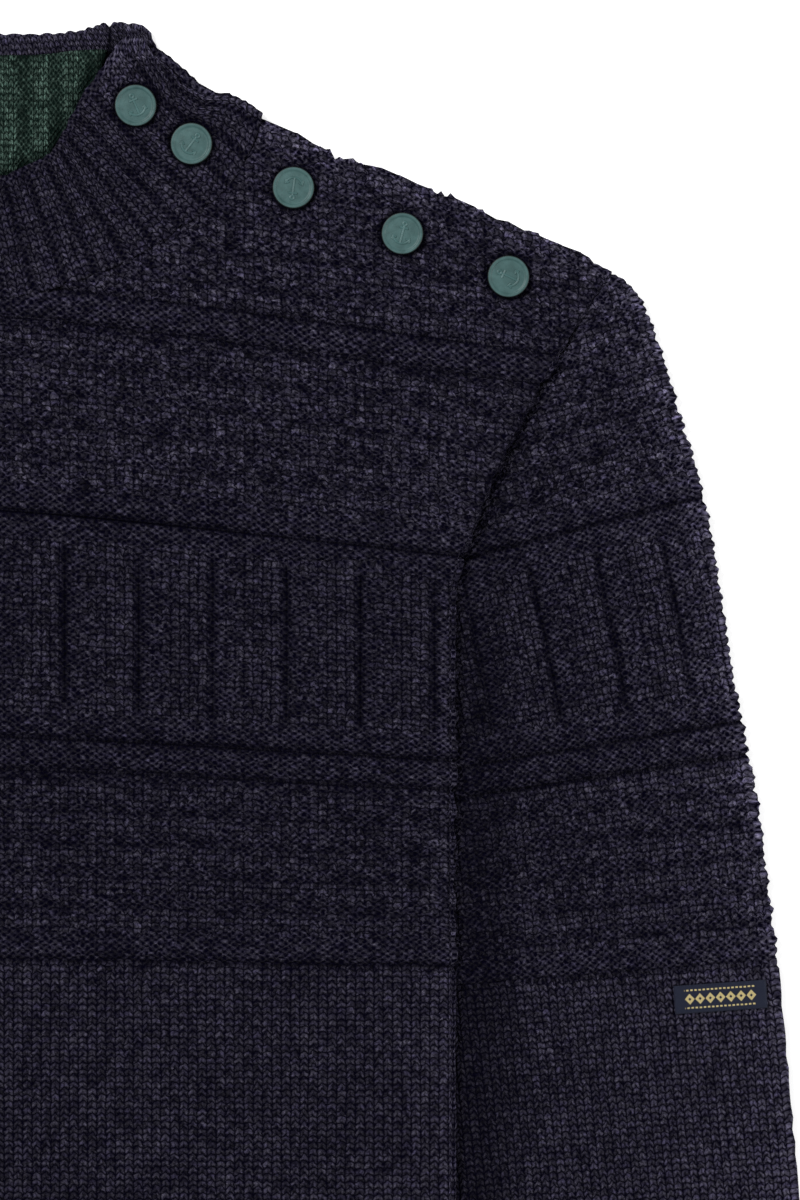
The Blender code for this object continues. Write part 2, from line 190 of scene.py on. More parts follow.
def sleeveHeight(x, drop):
    landed = rising(np.abs(x) - armholeHalf(drop), *stack["landingSpan"])
    return 2 * cut["layer"] * stackRise(drop) * (1 - landed)


# knitted bands, by the drop at which each would lie if the cloth were straight
bodyBands = {
    # each its place, half its width and its depth
    "valleys": ((66, 2.6, 1.8), (78.3, 2.7, 1.6), (154, 2, 2.4), (242.4, 2.3, 2.1), (255, 2.3, 1.9),
                (330, 2.3, 1.8)),
    "ridges": ((72.2, 5.6), (149.4, 4.6), (158.8, 4.8), (237.4, 4.8), (248.7, 5.8), (325, 4.8)),
    "ladder": (164.2, 232), "ladderShift": 43.2,
    "plainFrom": 331, "courseFrom": 80, "wale": 3.6,
    "tone": ((60, 85, 145, 165, 325, 333), (-0.2, -0.12, -0.1, 0.1, 0.1, 0)),
}
sleeveBands = {
    "valleys": ((158.2, 2, 2.2), (245.1, 2.2, 2), (257.6, 2.2, 1.9), (335.3, 2.4, 1.6)),
    "ridges": ((153.6, 4.4), (163, 4.6), (240.3, 4.6), (251.3, 5.8), (330.3, 4.8)),
    "ladder": (168, 235), "ladderShift": 9.6,
    "plainFrom": 336.3, "courseFrom": 80, "wale": 3.2,
    "tone": ((85, 145, 165, 325, 340), (-0.02, -0.02, 0.08, 0.05, -0.17)),
}
# One repeat of each pattern, a row for each course and a letter for each wale: k knit, p purl
zigzagChart = ("pkpk", "kkkk", "kkkk", "pkkk", "ppkp")
zigzagRelief = np.array(((-1.05, -0.5, -0.95, -0.4), (-0.2, 0.35, 0, 0.4), (0.5, 0.25, 0.55, 0.3),
                         (0.2, 0.55, 0.3, 0.6), (-0.5, 0.1, 0.4, -0.1)))
ladderChart = ("kkpppppk", "kkppppkk", "kkpppkkk", "kkppkkkk", "kkpkkkkk")
bandLook = {
    # of these, the relief, valley and groove strengths paint shade into the low relief, the valleys and the
    # ladder's grooves
    "oddPurl": 0.82, "oddRelief": 0.7, "blockRelief": 0.6, "ridge": 0.65, "reliefShade": 0.75, "valleyShade": 0.54,
    "groove": 1.7, "grooveHalf": 1.7, "grooveShade": 0.95, "slow": 0.3,
    # how tangled the stitches are: in the yoke, below it, on the ridges and in the plain knit
    "rough": (1, 0.6, 0.5, 0.15), "smoother": (148, 12),
}


def purlIn(chart, wales, courses):
    table = np.array([[mark == "p" for mark in row] for row in chart], float)
    return table[courses % len(chart), wales % len(chart[0])]


def chanceOf(wales, courses):
    # an even spread of values from 0 to 1, one for each stitch
    return np.modf(np.abs(np.sin(wales * 12.9898 + courses * 78.233) * 43758.5453))[0]


def fromGroove(x, look):
    # how far x is from the nearest of the ladder's grooves, one every eight wales
    span = 8 * look["wale"]
    return (x - look["ladderShift"] - 2.5 * look["wale"] + span / 2) % span - span / 2


def columnsFor(look, first, last, shift):
    # two columns of points a wale, and three close together at each groove
    columns = (np.arange(first, last) + 0.5) * look["wale"] / 2
    columns = columns[np.abs(fromGroove(columns, look)) > 0.3 * look["wale"]]
    centre = look["ladderShift"] + 2.5 * look["wale"]
    grooves = centre + 8 * look["wale"] * np.arange(-20, 21)
    grooves = grooves[(grooves > columns[0]) & (grooves < columns[-1])]
    return np.unique(np.concatenate([columns, grooves - 0.8, grooves, grooves + 0.8])) + shift


def soften(values):
    # a small blur over the half-stitch lattice
    for axis in (0, 1):
        pad = [(1, 1) if k == axis else (0, 0) for k in range(2)]
        wide = np.pad(values, pad, mode="edge")
        n = values.shape[axis]
        values = (wide.take(range(n), axis) + 2 * values + wide.take(range(2, n + 2), axis)) / 4
    return values


def darker(shade, cast):
    # lays a cast shade over a lighter one
    return np.maximum(shade, 1.25 * cast - 0.25)


def knitBands(x, straight, look):
    # relief in mm, share of purl, depth of shade and roughness for each point of a lattice
    wales = np.floor(x / look["wale"]).astype(int)
    courses = np.floor((straight - look["courseFrom"]) / stitch["course"]).astype(int)
    odd = chanceOf(wales, courses)
    block = chanceOf(wales // 2, courses // 2 + 31)
    purl = np.maximum(purlIn(zigzagChart, wales, courses), odd > bandLook["oddPurl"])
    relief = zigzagRelief[courses % 5, wales % 4]
    relief = relief + bandLook["oddRelief"] * (odd - 0.5) + bandLook["blockRelief"] * (block - 0.5)
    top, foot = look["ladder"]
    ladder = (straight > top) & (straight < foot)
    ladderWales = np.floor((x - look["ladderShift"]) / look["wale"]).astype(int)
    ladderPurl = purlIn(ladderChart, ladderWales, courses)
    pair = (ladderWales % 8 < 2).astype(float)
    purl = np.where(ladder, ladderPurl, purl)
    rung = 0.6 * pair + 0.35 * ladderPurl - 0.2 + bandLook["oddRelief"] * (1 - pair) * (odd - 0.5)
    relief = np.where(ladder, rung, relief)
    plain = straight > look["plainFrom"]
    purl, relief = np.where(plain, 0, purl), np.where(plain, 0, relief)
    inYoke, below, onRidge, inPlain = bandLook["rough"]
    rough = mix(inYoke, below, rising(straight, *bandLook["smoother"]))
    rough = mix(rough, inPlain, ease((straight - look["plainFrom"]) / 4))
    for middle, half in look["ridges"]:
        there = ease((half - np.abs(straight - middle)) / 1.2 + 0.5)
        bulge = np.sqrt(np.clip(1 - ((straight - middle) / half) ** 2, 0, 1))
        rough = mix(rough, onRidge, there)
        purl = mix(purl, 1, there)
        relief = mix(relief, bandLook["ridge"] * bulge, there)
    relief, purl = soften(relief), soften(purl)
    # painted shade where the relief is low, along the valleys and in the ladder's grooves
    shade = np.clip(-bandLook["reliefShade"] * relief - 0.05, 0, 1)
    for valley, wide, deep in look["valleys"]:
        line = hump(straight - valley, wide) * (1 + 0.12 * ripple(x / 31, 0, valley))
        relief = relief - deep * line
        purl = purl * (1 - hump(straight - valley, 1.3))
        shade = np.maximum(shade, bandLook["valleyShade"] * deep * line)
    within = ease((straight - top) / 3) * ease((foot - straight) / 3)
    groove = hump(fromGroove(x, look), bandLook["grooveHalf"]) * within
    groove = groove * (1 + 0.2 * ripple(x / 7, straight / 9, 6))
    relief = relief - bandLook["groove"] * groove + bandLook["slow"] * ripple(x / 19, straight / 14, 5)
    shade = np.maximum(shade, bandLook["grooveShade"] * groove)
    return relief, purl, shade + np.interp(straight, *look["tone"]), rough


def ribBands(wales, knit, purl):
    # narrow hollows between plump ribs, with painted shade in the hollows
    at = wales % (knit + purl)
    inRib = at < knit
    across = np.where(inRib, at / knit, (at - knit) / purl) * 2 - 1
    relief = np.where(inRib, 0.85 * (1 - across**4), -0.8 * (1 - across**2))
    return relief, np.where(inRib, 0, 1), np.where(inRib, 0, 1 - across**4)


# Cloth is a closed wall on a lattice of points. A strip is a dictionary of arrays, one value for each
# point: where the wall's middle is, which way is out, the stitch it belongs to, and so on. Strips join
# side by side into one lattice, and "pick" lists the columns that the inner face takes.
# shade darkens a point's colour as painted shade, or lightens it as a painted highlight below 0; inGlow is a
# painted highlight on the inner face only
usualPoint = {"relief": 0, "purl": 0, "shade": 0, "rough": 0.3, "out": halfWall, "ins": halfWall,
              "inRelief": 0, "inGlow": 0}


def place(x, drop, z):
    return np.stack(np.broadcast_arrays(x, cut["middleDrop"] - drop, z), -1).astype(float)


def every(count, step):
    picked = list(range(0, count, step))
    return picked if picked[-1] == count - 1 else picked + [count - 1]


def strip(at, up, u, v, pick=None, **given):
    shape = at.shape[:2]
    made = {"at": at, "up": np.broadcast_to(up, at.shape), "pick": pick or range(shape[1])}
    for key, value in {"u": u, "v": v, **usualPoint, **given}.items():
        made[key] = np.broadcast_to(value, shape).astype(float)
    return made


def joined(strips):
    whole = {key: np.concatenate([s[key] for s in strips], 1) for key in strips[0] if key != "pick"}
    whole["pick"], start = [], 0
    for s in strips:
        whole["pick"] += [start + c for c in s["pick"]]
        start += s["at"].shape[1]
    return whole


def flipped(s):
    # the same strip with its columns in the other order
    made = {key: value[:, ::-1] for key, value in s.items() if key != "pick"}
    made["pick"] = sorted(s["at"].shape[1] - 1 - c for c in s["pick"])
    return made


def arcStrip(s, edge, x, drop, z, radius, side, degrees, slope=0, ins=halfWall, fade=1):
    # points round a fold at an edge of a strip, with the stitches of that edge carried on
    beside = {key: value[:, [edge]] for key, value in s.items() if key != "pick"}
    turn = np.radians(np.array(degrees, float))[None, :]
    x, drop, z, radius = x[:, edge, None], drop[:, edge, None], np.reshape(z, (-1, 1)), np.reshape(radius, (-1, 1))
    reach = radius * np.cos(turn)
    at = place(x + side * reach, drop + slope * side * reach, z + radius * np.sin(turn))
    up = np.stack([side * np.cos(turn), 0 * turn, np.sin(turn)], -1)
    gone = np.radians(np.abs(np.array(degrees, float) - 90 * np.sign(degrees[0] + degrees[-1] + 0.01)))[None, :]
    carried = {key: beside[key] for key in ("purl", "shade", "rough", "out")}
    carried["relief"] = beside["relief"] * np.reshape(fade, (1, -1))
    return strip(at, up, beside["u"] + side * gone * 0.4, beside["v"], ins=np.reshape(ins, (-1, 1)), **carried)


def tubeLayer(made, upper, x, drop, rise, radius, slope, outerFold, outerFade=1, ins=halfWall):
    # a layer of a flattened tube and its half of the fold beside the body; the outer fold goes with the upper
    rise = np.broadcast_to(rise, x.shape)
    inner = arcStrip(made, 0, x, drop, rise[:, 0] + (-radius if upper else radius), radius, -1,
                     (0, 30, 60) if upper else (-60, -30, 0), slope, ins, (0, 0.4, 0.8) if upper else (0.8, 0.4, 0))
    if not upper:
        return [flipped(made), inner]
    outRadius = cut["layer"] / 2
    outer = arcStrip(made, -1, x, drop, rise[:, -1] - outRadius, outRadius, 1, outerFold, slope, fade=outerFade)
    return [inner, made, outer]


def addObject(name, data):
    made = bpy.data.objects.new(name, data)
    bpy.context.scene.collection.objects.link(made)
    return made


def clothWall(name, s, material, rowStep=4, rowsToo=(), sewnFrom=None, turned=False, mirrored=False):
    # The outer face takes every point, the inner face only some, and a rim joins them.
    rows, cols = s["at"].shape[:2]
    inRows = sorted(set(every(rows, rowStep)) | set(rowsToo))
    inCols = s["pick"]
    pick = np.ix_(inRows, inCols)
    outer = s["at"] + s["up"] * (s["out"] + s["relief"])[..., None]
    inner = (s["at"] - s["up"] * (s["ins"] + s["inRelief"])[..., None])[pick]
    points = np.concatenate([outer.reshape(-1, 3), inner.reshape(-1, 3)]) * mm
    if mirrored:
        points[:, 0] *= -1
    out = np.arange(rows * cols).reshape(rows, cols)
    ins = np.arange(len(inRows) * len(inCols)).reshape(len(inRows), len(inCols)) + rows * cols
    quads = np.stack([out[:-1, :-1], out[1:, :-1], out[1:, 1:], out[:-1, 1:]], -1).reshape(-1, 4)
    under = np.stack([ins[:-1, :-1], ins[:-1, 1:], ins[1:, 1:], ins[1:, :-1]], -1).reshape(-1, 4)
    faces = quads.tolist() + under.tolist()
    for b in range(1, len(inCols)):
        span = slice(inCols[b - 1], inCols[b] + 1)
        faces.append(out[0, span].tolist() + [ins[0, b], ins[0, b - 1]])
        faces.append(out[-1, span][::-1].tolist() + [ins[-1, b - 1], ins[-1, b]])
    for b in range(1, len(inRows)):
        if sewnFrom is not None and inRows[b] > sewnFrom:
            continue
        span = slice(inRows[b - 1], inRows[b] + 1)
        faces.append(out[span, 0][::-1].tolist() + [ins[b - 1, 0], ins[b, 0]])
        faces.append(out[span, -1].tolist() + [ins[b, -1], ins[b - 1, -1]])
    if turned != mirrored:
        faces = [face[::-1] for face in faces]
    mesh = bpy.data.meshes.new(name)
    mesh.from_pydata(points.tolist(), [], [[int(v) for v in face] for face in faces])
    uv = np.stack([s["u"], -s["v"]], -1)
    mapped = np.concatenate([uv.reshape(-1, 2), uv[pick].reshape(-1, 2)])
    loops = np.empty(len(mesh.loops), np.int32)
    mesh.loops.foreach_get("vertex_index", loops)
    mesh.uv_layers.new(name="stitches").data.foreach_set("uv", mapped[loops].astype(np.float32).ravel())
    for label in ("purl", "shade", "rough"):
        inside = s[label][pick] * 0.5 - (s["inGlow"][pick] if label == "shade" else 0)
        flat = np.concatenate([s[label].ravel(), inside.ravel()]).astype(np.float32)
        mesh.attributes.new(label, "FLOAT", "POINT").data.foreach_set("value", flat)
    bm = bmesh.new()
    bm.from_mesh(mesh)
    bmesh.ops.remove_doubles(bm, verts=bm.verts, dist=0.02 * mm)
    bmesh.ops.dissolve_degenerate(bm, dist=0.002 * mm, edges=bm.edges)
    # where rows run together: slits closed and doubled faces taken out
    for _ in range(6):
        slits = [edge for edge in bm.edges if len(edge.link_faces) == 1]
        bmesh.ops.collapse(bm, edges=slits)
        met, doubled = {}, []
        for face in bm.faces:
            key = frozenset(vert.index for vert in face.verts)
            if key in met:
                doubled += [face, met[key]]
            met[key] = face
        bmesh.ops.delete(bm, geom=list(set(doubled)), context="FACES")
        bm.verts.index_update()
        if not slits and not doubled:
            break
    for face in bm.faces:
        face.smooth = True
    bm.to_mesh(mesh)
    bm.free()
    mesh.materials.append(material)
    obj = addObject(name + "_knit", mesh)
    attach(obj, "root")
    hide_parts(name)
    triangles = sum(len(p.vertices) - 2 for p in mesh.polygons)
    area = sum(p.area for p in mesh.polygons) / 2
    print(name, triangles, "triangles, half the area", round(area, 4))
    return obj


def patch(name, at, u, v, step, material, **given):
    # a wall from one lattice, with its edges all round
    made = strip(at, latticeNormal(at), u, v, every(at.shape[1], step), **given)
    return clothWall(name, made, material, step)


def fromEnds(share):
    return np.minimum(share, 1 - share)


def surfaceNormal(x, drop, height):
    d = 0.8
    dx = (height(x + d, drop) - height(x - d, drop)) / (2 * d)
    dy = -(height(x, drop + d) - height(x, drop - d)) / (2 * d)
    n = np.stack([-dx, -dy, np.ones_like(dx)], -1)
    return n / np.linalg.norm(n, axis=-1, keepdims=True)


def latticeNormal(at):
    n = np.cross(np.gradient(at, axis=0), np.gradient(at, axis=1))
    return n / np.linalg.norm(n, axis=-1, keepdims=True)


def ragged(along, pitch=5.9):
    # the small bumps of stitches on an outline
    beat = np.abs(np.sin(pi * along / pitch + 1.2 * ripple(along / 11, 0, 1)))
    return beat + 0.35 * ripple(along / 1.7, 0, 4) + 0.5 * ripple(along / 12, 0, 7)


def roundedEdge(reach, full=halfWall, least=0.35, run=1.7):
    near = np.clip(reach / run, 0, 1)
    return mix(least, full, np.sqrt(1 - (1 - near) ** 2))


def creased(x, drop, creases):
    # soft troughs, each x, drop, length, width, depth and degrees off the garment's length
    total = np.zeros(np.broadcast(x, drop).shape)
    for atX, atDrop, length, width, depth, angle in creases:
        turn = radians(angle)
        along = (drop - atDrop) * cos(turn) + (x - atX) * sin(turn)
        across = (x - atX) * cos(turn) - (drop - atDrop) * sin(turn)
        bend = across - 0.12 * width * np.sin(along / length * 5)
        total = total - depth * hump(along, length / 2) * np.exp(-((bend / width) ** 2))
    return total


# materials
def feed(socket, given):
    if isinstance(given, Value):
        socket.id_data.links.new(given.socket, socket)
    else:
        socket.default_value = given


class Value:
    # a node's output that adds and multiplies like a number
    def __init__(self, socket):
        self.socket = socket

    def math(self, operation, *others):
        node = self.socket.id_data.nodes.new("ShaderNodeMath")
        node.operation = operation
        for socket, given in zip(node.inputs, (self, *others)):
            feed(socket, given)
        return Value(node.outputs[0])

    def __add__(self, other):
        return self.math("ADD", other)

    def __sub__(self, other):
        return self.math("SUBTRACT", other)

    def __rsub__(self, other):
        return self * -1 + other

    def __mul__(self, other):
        return self.math("MULTIPLY", other)

    def within(self, middle, reach):
        # 1 where it is nearer to the middle than the reach
        return (self - middle).math("ABSOLUTE").math("LESS_THAN", reach)


class Wiring:
    # short hands for the nodes of one material
    def __init__(self, name):
        self.material = bpy.data.materials.new(name)
        self.material.use_nodes = True
        self.tree = self.material.node_tree
        self.shader = self.tree.nodes["Principled BSDF"]

    def node(self, kind, inputs=(), output=0, **values):
        made = self.tree.nodes.new(kind)
        for key, value in values.items():
            setattr(made, key, value)
        for key, value in dict(inputs).items():
            feed(made.inputs[key], value)
        return Value(made.outputs[output])

    def stitches(self):
        # the piece's own map: u counts wales and v counts courses
        uv = self.node("ShaderNodeUVMap", uv_map="stitches")
        return uv, *(self.node("ShaderNodeSeparateXYZ", {0: uv}, axis) for axis in (0, 1))

    def attribute(self, name):
        return self.node("ShaderNodeAttribute", output="Fac", attribute_name=name)

    def vector(self, x, y, z=0):
        return self.node("ShaderNodeCombineXYZ", {0: x, 1: y, 2: z})

    def noise(self, vector, scale, detail=2, roughness=0.5):
        values = {"Vector": vector, "Scale": scale, "Detail": detail, "Roughness": roughness}
        return self.node("ShaderNodeTexNoise", values, "Fac")

    def ramp(self, value, low, high):
        return self.node("ShaderNodeMapRange", {"Value": value, "From Min": low, "From Max": high}, "Result")

    def colour(self, a, b, t):
        return self.node("ShaderNodeMix", {"Factor": t, 6: a, 7: b}, 2, data_type="RGBA")

    def finish(self, colour, values, height=None, depth=0):
        # the shader's colour, fixed values and bump, with the bump's depth in mm
        feed(self.shader.inputs["Base Color"], colour)
        for key, value in values.items():
            feed(self.shader.inputs[key], value)
        if height is not None:
            bump = self.node("ShaderNodeBump", {"Height": height, "Distance": depth * mm})
            feed(self.shader.inputs["Normal"], bump)
        return self.material


def woolMaterial(name, look):
    w = Wiring(name)
    uv, u0, v0 = w.stitches()
    # stitches are never quite even
    rough = w.attribute("rough")
    uneven = rough * (look["uneven"] * 1.2) + look["uneven"]
    sway = w.noise(uv, 1.5, 1.5) - 0.5
    lift = w.noise(w.vector(v0, u0, 3), 1.3, 1.5) - 0.5
    u = sway * uneven + u0
    v = lift * 1.6 * uneven + v0
    purl = w.ramp(w.attribute("purl"), 0.35, 0.65)
    # knit: two legs a wale, leaning apart up the cloth, with a deeper gap between wales than inside one
    fromMiddle = (u.math("FRACT") - 0.5).math("ABSOLUTE")
    lean = rough * (-0.55 * look["lean"]) + look["lean"]
    along = (fromMiddle * lean + v).math("FRACT")
    acrossLeg = fromMiddle * 4 - 1
    gap = acrossLeg.math("GREATER_THAN", 0) * (1 - look["inside"]) + look["inside"]
    leg = 1 - acrossLeg * acrossLeg * gap
    knit = leg.math("MAXIMUM", 0).math("POWER", 0.8) * (along * pi).math("SINE").math("POWER", 0.7)
    # purl: bumps in a brick layout
    brick = (u * (2 * pi)).math("COSINE") * (v * (2 * pi)).math("COSINE")
    height = mix(knit, (brick * 0.5 + 0.5).math("POWER", 1.1), purl)
    # yarn: fibres along the course, and each stitch its own tint of the melange
    isPurl = purl.math("GREATER_THAN", 0.5)
    cellU = mix((u * 2).math("FLOOR"), (u + v + 0.5).math("FLOOR"), isPurl)
    cellV = mix(v.math("FLOOR"), (u - v + 0.5).math("FLOOR"), isPurl)
    chance = w.node("ShaderNodeTexWhiteNoise", {"Vector": w.vector(cellU, cellV)}, noise_dimensions="2D") - 0.5
    fibre = w.noise(w.vector(u0 * 3, v0 * 9), 1.6, 3, 0.7)
    tint = w.noise(w.vector(u0 * 0.55, v0 * 1.3), 1, 2, 0.6)
    patch = w.noise(uv, 0.13)
    speck = w.noise(w.vector(u0 * 1.9, v0 * 1.4, 7), 1.5, 2, 0.65)
    clump = w.noise(w.vector(u0, v0 * 0.72, 11), 1.7, 1)
    colour = w.colour(look["dark"], look["light"], w.ramp(fibre, 0.32, 0.72))
    colour = w.colour(colour, look["second"], w.ramp(tint, 0.42, 0.66))
    vary = chance * (rough * 0.45 + 0.9) + 1
    vary = vary * ((w.ramp(clump, 0.34, 0.66) - 0.5) * (rough * 0.55 + 0.2) + 1)
    vary = vary * (rough * look["roughBright"] + 1)
    vary = vary * (patch * 0.6 + 0.7)
    vary = vary * (w.ramp(speck, 0.36, 0.64) * 1.1 + 0.42)
    # the shade attribute darkens the colour as painted shade, or lightens it as a painted highlight where it is
    # below 0
    lit = 1 - w.attribute("shade") * look["valley"]
    scaled = w.node("ShaderNodeVectorMath", {0: colour, "Scale": vary * lit * look["bright"]}, operation="SCALE")
    # painted shade: the deep colour fills the crevices between the legs and the bumps
    return w.finish(w.colour(look["deep"], scaled, w.ramp(height, look["crevice"], 1)), {
        "Roughness": 0.92, "Specular IOR Level": look["gloss"], "Sheen Weight": look["sheen"],
        "Sheen Roughness": 0.55, "Sheen Tint": look["sheenTint"]}, fibre * 0.35 + height, look["depth"])


navyLook = {
    # deep is the colour painted into the crevices as shade, mixed in where the stitch is lower than crevice; valley
    # is how far the painted shade darkens
    "dark": (0.0115, 0.0098, 0.022, 1), "light": (0.066, 0.062, 0.08, 1), "second": (0.03, 0.0265, 0.05, 1),
    "deep": (0.0012, 0.0008, 0.0062, 1), "bright": 1.07, "roughBright": 0.22, "crevice": 0.12, "inside": 0.5,
    "valley": 0.75, "depth": 1.3, "lean": 1.15, "uneven": 0.45,
    "gloss": 0.012, "sheen": 0.006, "sheenTint": (0.62, 0.6, 0.8, 1),
}
greenLook = dict(navyLook, dark=(0.024, 0.055, 0.044, 1), light=(0.13, 0.19, 0.16, 1),
                 second=(0.055, 0.1, 0.082, 1), deep=(0.003, 0.0085, 0.007, 1), bright=1.14,
                 sheenTint=(0.6, 0.8, 0.72, 1))
navyWool = woolMaterial("navyWool", navyLook)
greenWool = woolMaterial("greenWool", greenLook)
print("materials made")


# where the buttons sit
buttonLook = {
    "radius": 8.15, "thick": 3.2, "rim": 1.25, "dish": 0.5, "onCloth": 0.4,
    "dyes": ((0.037, 0.086, 0.085), (0.056, 0.122, 0.121), (0.03, 0.066, 0.065)),
}
buttonPlaces = (
    # name, x, drop, on the collar, degrees its anchor is turned
    ("button_collar_1", 82.5, -2.4, True, 24), ("button_collar_2", 104.2, 12.5, True, -38),
    ("button_shoulder_1", 143.8, 29.6, False, 172), ("button_shoulder_2", 186.2, 47.4, False, -15),
    ("button_shoulder_3", 227.4, 64.1, False, 64),
)


def underButtons(x, drop, onCollar):
    # 1 under a button, fading out just past its edge; it sinks the cloth and paints a shadow round the button
    total = 0 * x
    for _, atX, atDrop, there, _ in buttonPlaces:
        if there == onCollar:
            total = np.maximum(total, 1.15 * (1 - rising(np.hypot(x - atX, drop - atDrop), 8.6, 1.9)))
    return total


# body: front, back and their rib bands
bodyLook = {
    # how the bands sag towards the armholes
    "lean": 0.143, "leanSpan": (60, 330), "round": 50,
    # light along the tucked sides, by the distance from the edge
    "sideGlow": ((2, 6, 12, 26), (0.75, 0.42, 0.2, 0)), "sideSpan": (165, 40),
    # shade beside the armhole seam, by drop
    "seamDeep": ((88, 100, 112, 122, 135, 150, 165), (0, 0.15, 0.35, 0.6, 0.62, 0.42, 0.3)),
    "seamSpan": (0.4, 4),
    # light along the shoulder, by the distance below it, with more of it beside the collar
    "topGlow": ((0, 2, 4, 8, 14, 24), (2.4, 1.5, 1, 0.45, 0.12, 0)),
    "collarGlow": 1.75, "collarSpan": (118, 30),
    # the fold of a tucked side: its turns in degrees, its length, and the drop below which its shade is capped and
    # a highlight painted on it
    "foldTurns": (60, 30, 0, -30, -60, -90), "foldLong": 4.7, "foldFrom": 170, "foldShade": 0.3, "foldLight": 0.5,
    "ribShade": (0.6, -0.12),
}
frontCreases = (
    (208, 45, 22, 4.5, 1.1, -4), (214, 120, 60, 9, 1.2, -24),
    (150, 205, 90, 14, 0.7, -12), (-196, 70, 34, 6, 1, 10),
    (-206, 128, 70, 9, 1.2, 26), (-120, 260, 110, 16, 0.8, 9),
    (60, 420, 150, 18, 1.1, -14), (-70, 500, 130, 15, 1, 20),
    (150, 520, 120, 14, 1.2, 8),
)


def bandDip(x, straight):
    # how far a course sags towards the armhole
    lean = bodyLook["lean"] * (1 - rising(straight, *bodyLook["leanSpan"]))
    return lean * (np.sqrt(x**2 + bodyLook["round"] ** 2) - bodyLook["round"])


def straightDrop(x, drop):
    guess = drop
    for _ in range(6):
        guess = drop - bandDip(x, guess)
    return guess


def foldShare(drop, start):
    # 0 well above a fold, 1 from its start down
    return ease((drop - cut[start] + cut["foldRun"]) / cut["foldRun"])


def ribShades(wales):
    # two knit, two purl, for the hem and the cuffs, with the painted shade of their hollows scaled and shifted
    relief, purl, shade = ribBands(wales + 1, 2, 2)
    deep, base = bodyLook["ribShade"]
    return relief, np.minimum(relief - 0.75, 0), purl, deep * shade + base


def bodyPattern(x, drop, straight, front):
    relief, purl, shade, rough = knitBands(x - stitch["waleFrom"], straight, bodyBands)
    if not front:
        return np.minimum(relief * 0.7 - 0.4, 0), purl, shade, rough
    under = underButtons(x, drop, False)
    return relief + creased(x, drop, frontCreases) - 0.5 * under, purl, darker(shade, under), rough


def hemPattern(x, drop, straight, front):
    relief, hidden, purl, shade = ribShades(x / stitch["wale"])
    return relief + creased(x, drop, frontCreases[-3:]) if front else hidden, purl, shade, 0.3


def bodyPanel(name, columns, rows, front, pattern):
    # the panel between its edges, then a fold and a flap at each tucked side
    look = bodyLook
    depth, height = (cut["frontNeck"], frontHeight) if front else (cut["backNeck"], flatHeight)
    sign = 1 if front else -1

    def top(px):
        px = np.clip(px, -cut["tipHalf"], cut["tipHalf"])
        onShoulder = rising(np.abs(px), cut["neckHalf"], 8) * ease((cut["tipHalf"] - np.abs(px)) / 4)
        return topDrop(px, depth) - 2.5 * (ragged(px, 3.9) - 0.62) * onShoulder

    given, level = np.meshgrid(columns, rows)
    drop = np.maximum(level + bandDip(given, level), top(given))
    for _ in range(4):
        bumps = 0.12 * (ragged(drop) - 0.8) * rising(drop, 70, 20)
        side = armholeHalf(drop) - foldReach * foldShare(drop, "tuckStart") + bumps
        x = np.sign(given) * np.minimum(np.abs(given), side)
        drop = np.maximum(level + bandDip(x, level), top(x))
    straight = straightDrop(x, drop)
    relief, purl, shade, rough = pattern(x, drop, straight, front)
    atNeck = 1 - rising(np.abs(x), cut["neckHalf"] - 4, 4)
    ends = np.minimum(drop - top(x) + 1.1 * atNeck, rows[-1] + bandDip(x, rows[-1]) - drop)
    # painted shade beside the armhole seam, and painted highlights along the tucked sides and the shoulder
    reach = armholeHalf(drop) - np.abs(x)
    low = rising(drop, *look["sideSpan"])
    bySeam = 1 - rising(reach, *look["seamSpan"])
    shade = darker(shade, np.interp(drop, *look["seamDeep"]) * bySeam * (1 - low))
    onTop = through(drop - shoulderDrop(x), *look["topGlow"]) * (1 - atNeck)
    fromCollar = rising(np.abs(x), *look["collarSpan"])
    glow = through(reach, *look["sideGlow"]) * low + onTop * mix(look["collarGlow"], 1, fromCollar)
    shade = shade * ease(ends / 3) - glow * (1 - np.clip(shade, 0, 1))
    panel = strip(place(x, drop, height(x, drop) + halfWall), surfaceNormal(x, drop, height) * sign,
                  (x - stitch["waleFrom"]) / stitch["wale"], straight / stitch["course"], every(x.shape[1], 4),
                  relief=relief, purl=purl, shade=shade, rough=rough, out=roundedEdge(ends))
    foldPaintedLight = np.minimum(shade, look["foldShade"]) - look["foldLight"]
    lit = dict(panel, shade=np.where(drop > look["foldFrom"], foldPaintedLight, shade))
    strips = [panel]
    for hand, edge in ((-1, 0), (1, -1)):
        sx, sd = x[:, [edge]], drop[:, [edge]]
        share = foldShare(sd, "tuckStart")
        radius = cut["layer"] / 2 * share
        fold = arcStrip(lit, edge, x, drop, height(sx, sd) + halfWall - sign * radius, radius, hand,
                        [sign * a for a in look["foldTurns"]], ins=halfWall * share)
        fx = sx + (hand * tuckEdge(sd) - sx) * (np.arange(1, 5) / 4 * share)
        at = place(fx, sd, height(fx, sd) + halfWall - 2 * sign * radius)
        u = panel["u"][:, [edge]] + hand * (np.abs(fx - sx) + look["foldLong"]) / stitch["wale"]
        flap = strip(at, (0, 0, -sign), u, sd / stitch["course"], ins=halfWall * share)
        strips = [flipped(flap), flipped(fold), *strips] if hand < 0 else [*strips, fold, flap]
    return clothWall(name, joined(strips), navyWool, turned=not front)


def withEnds(columns, half):
    return np.unique(np.append(columns, [-half, half]))


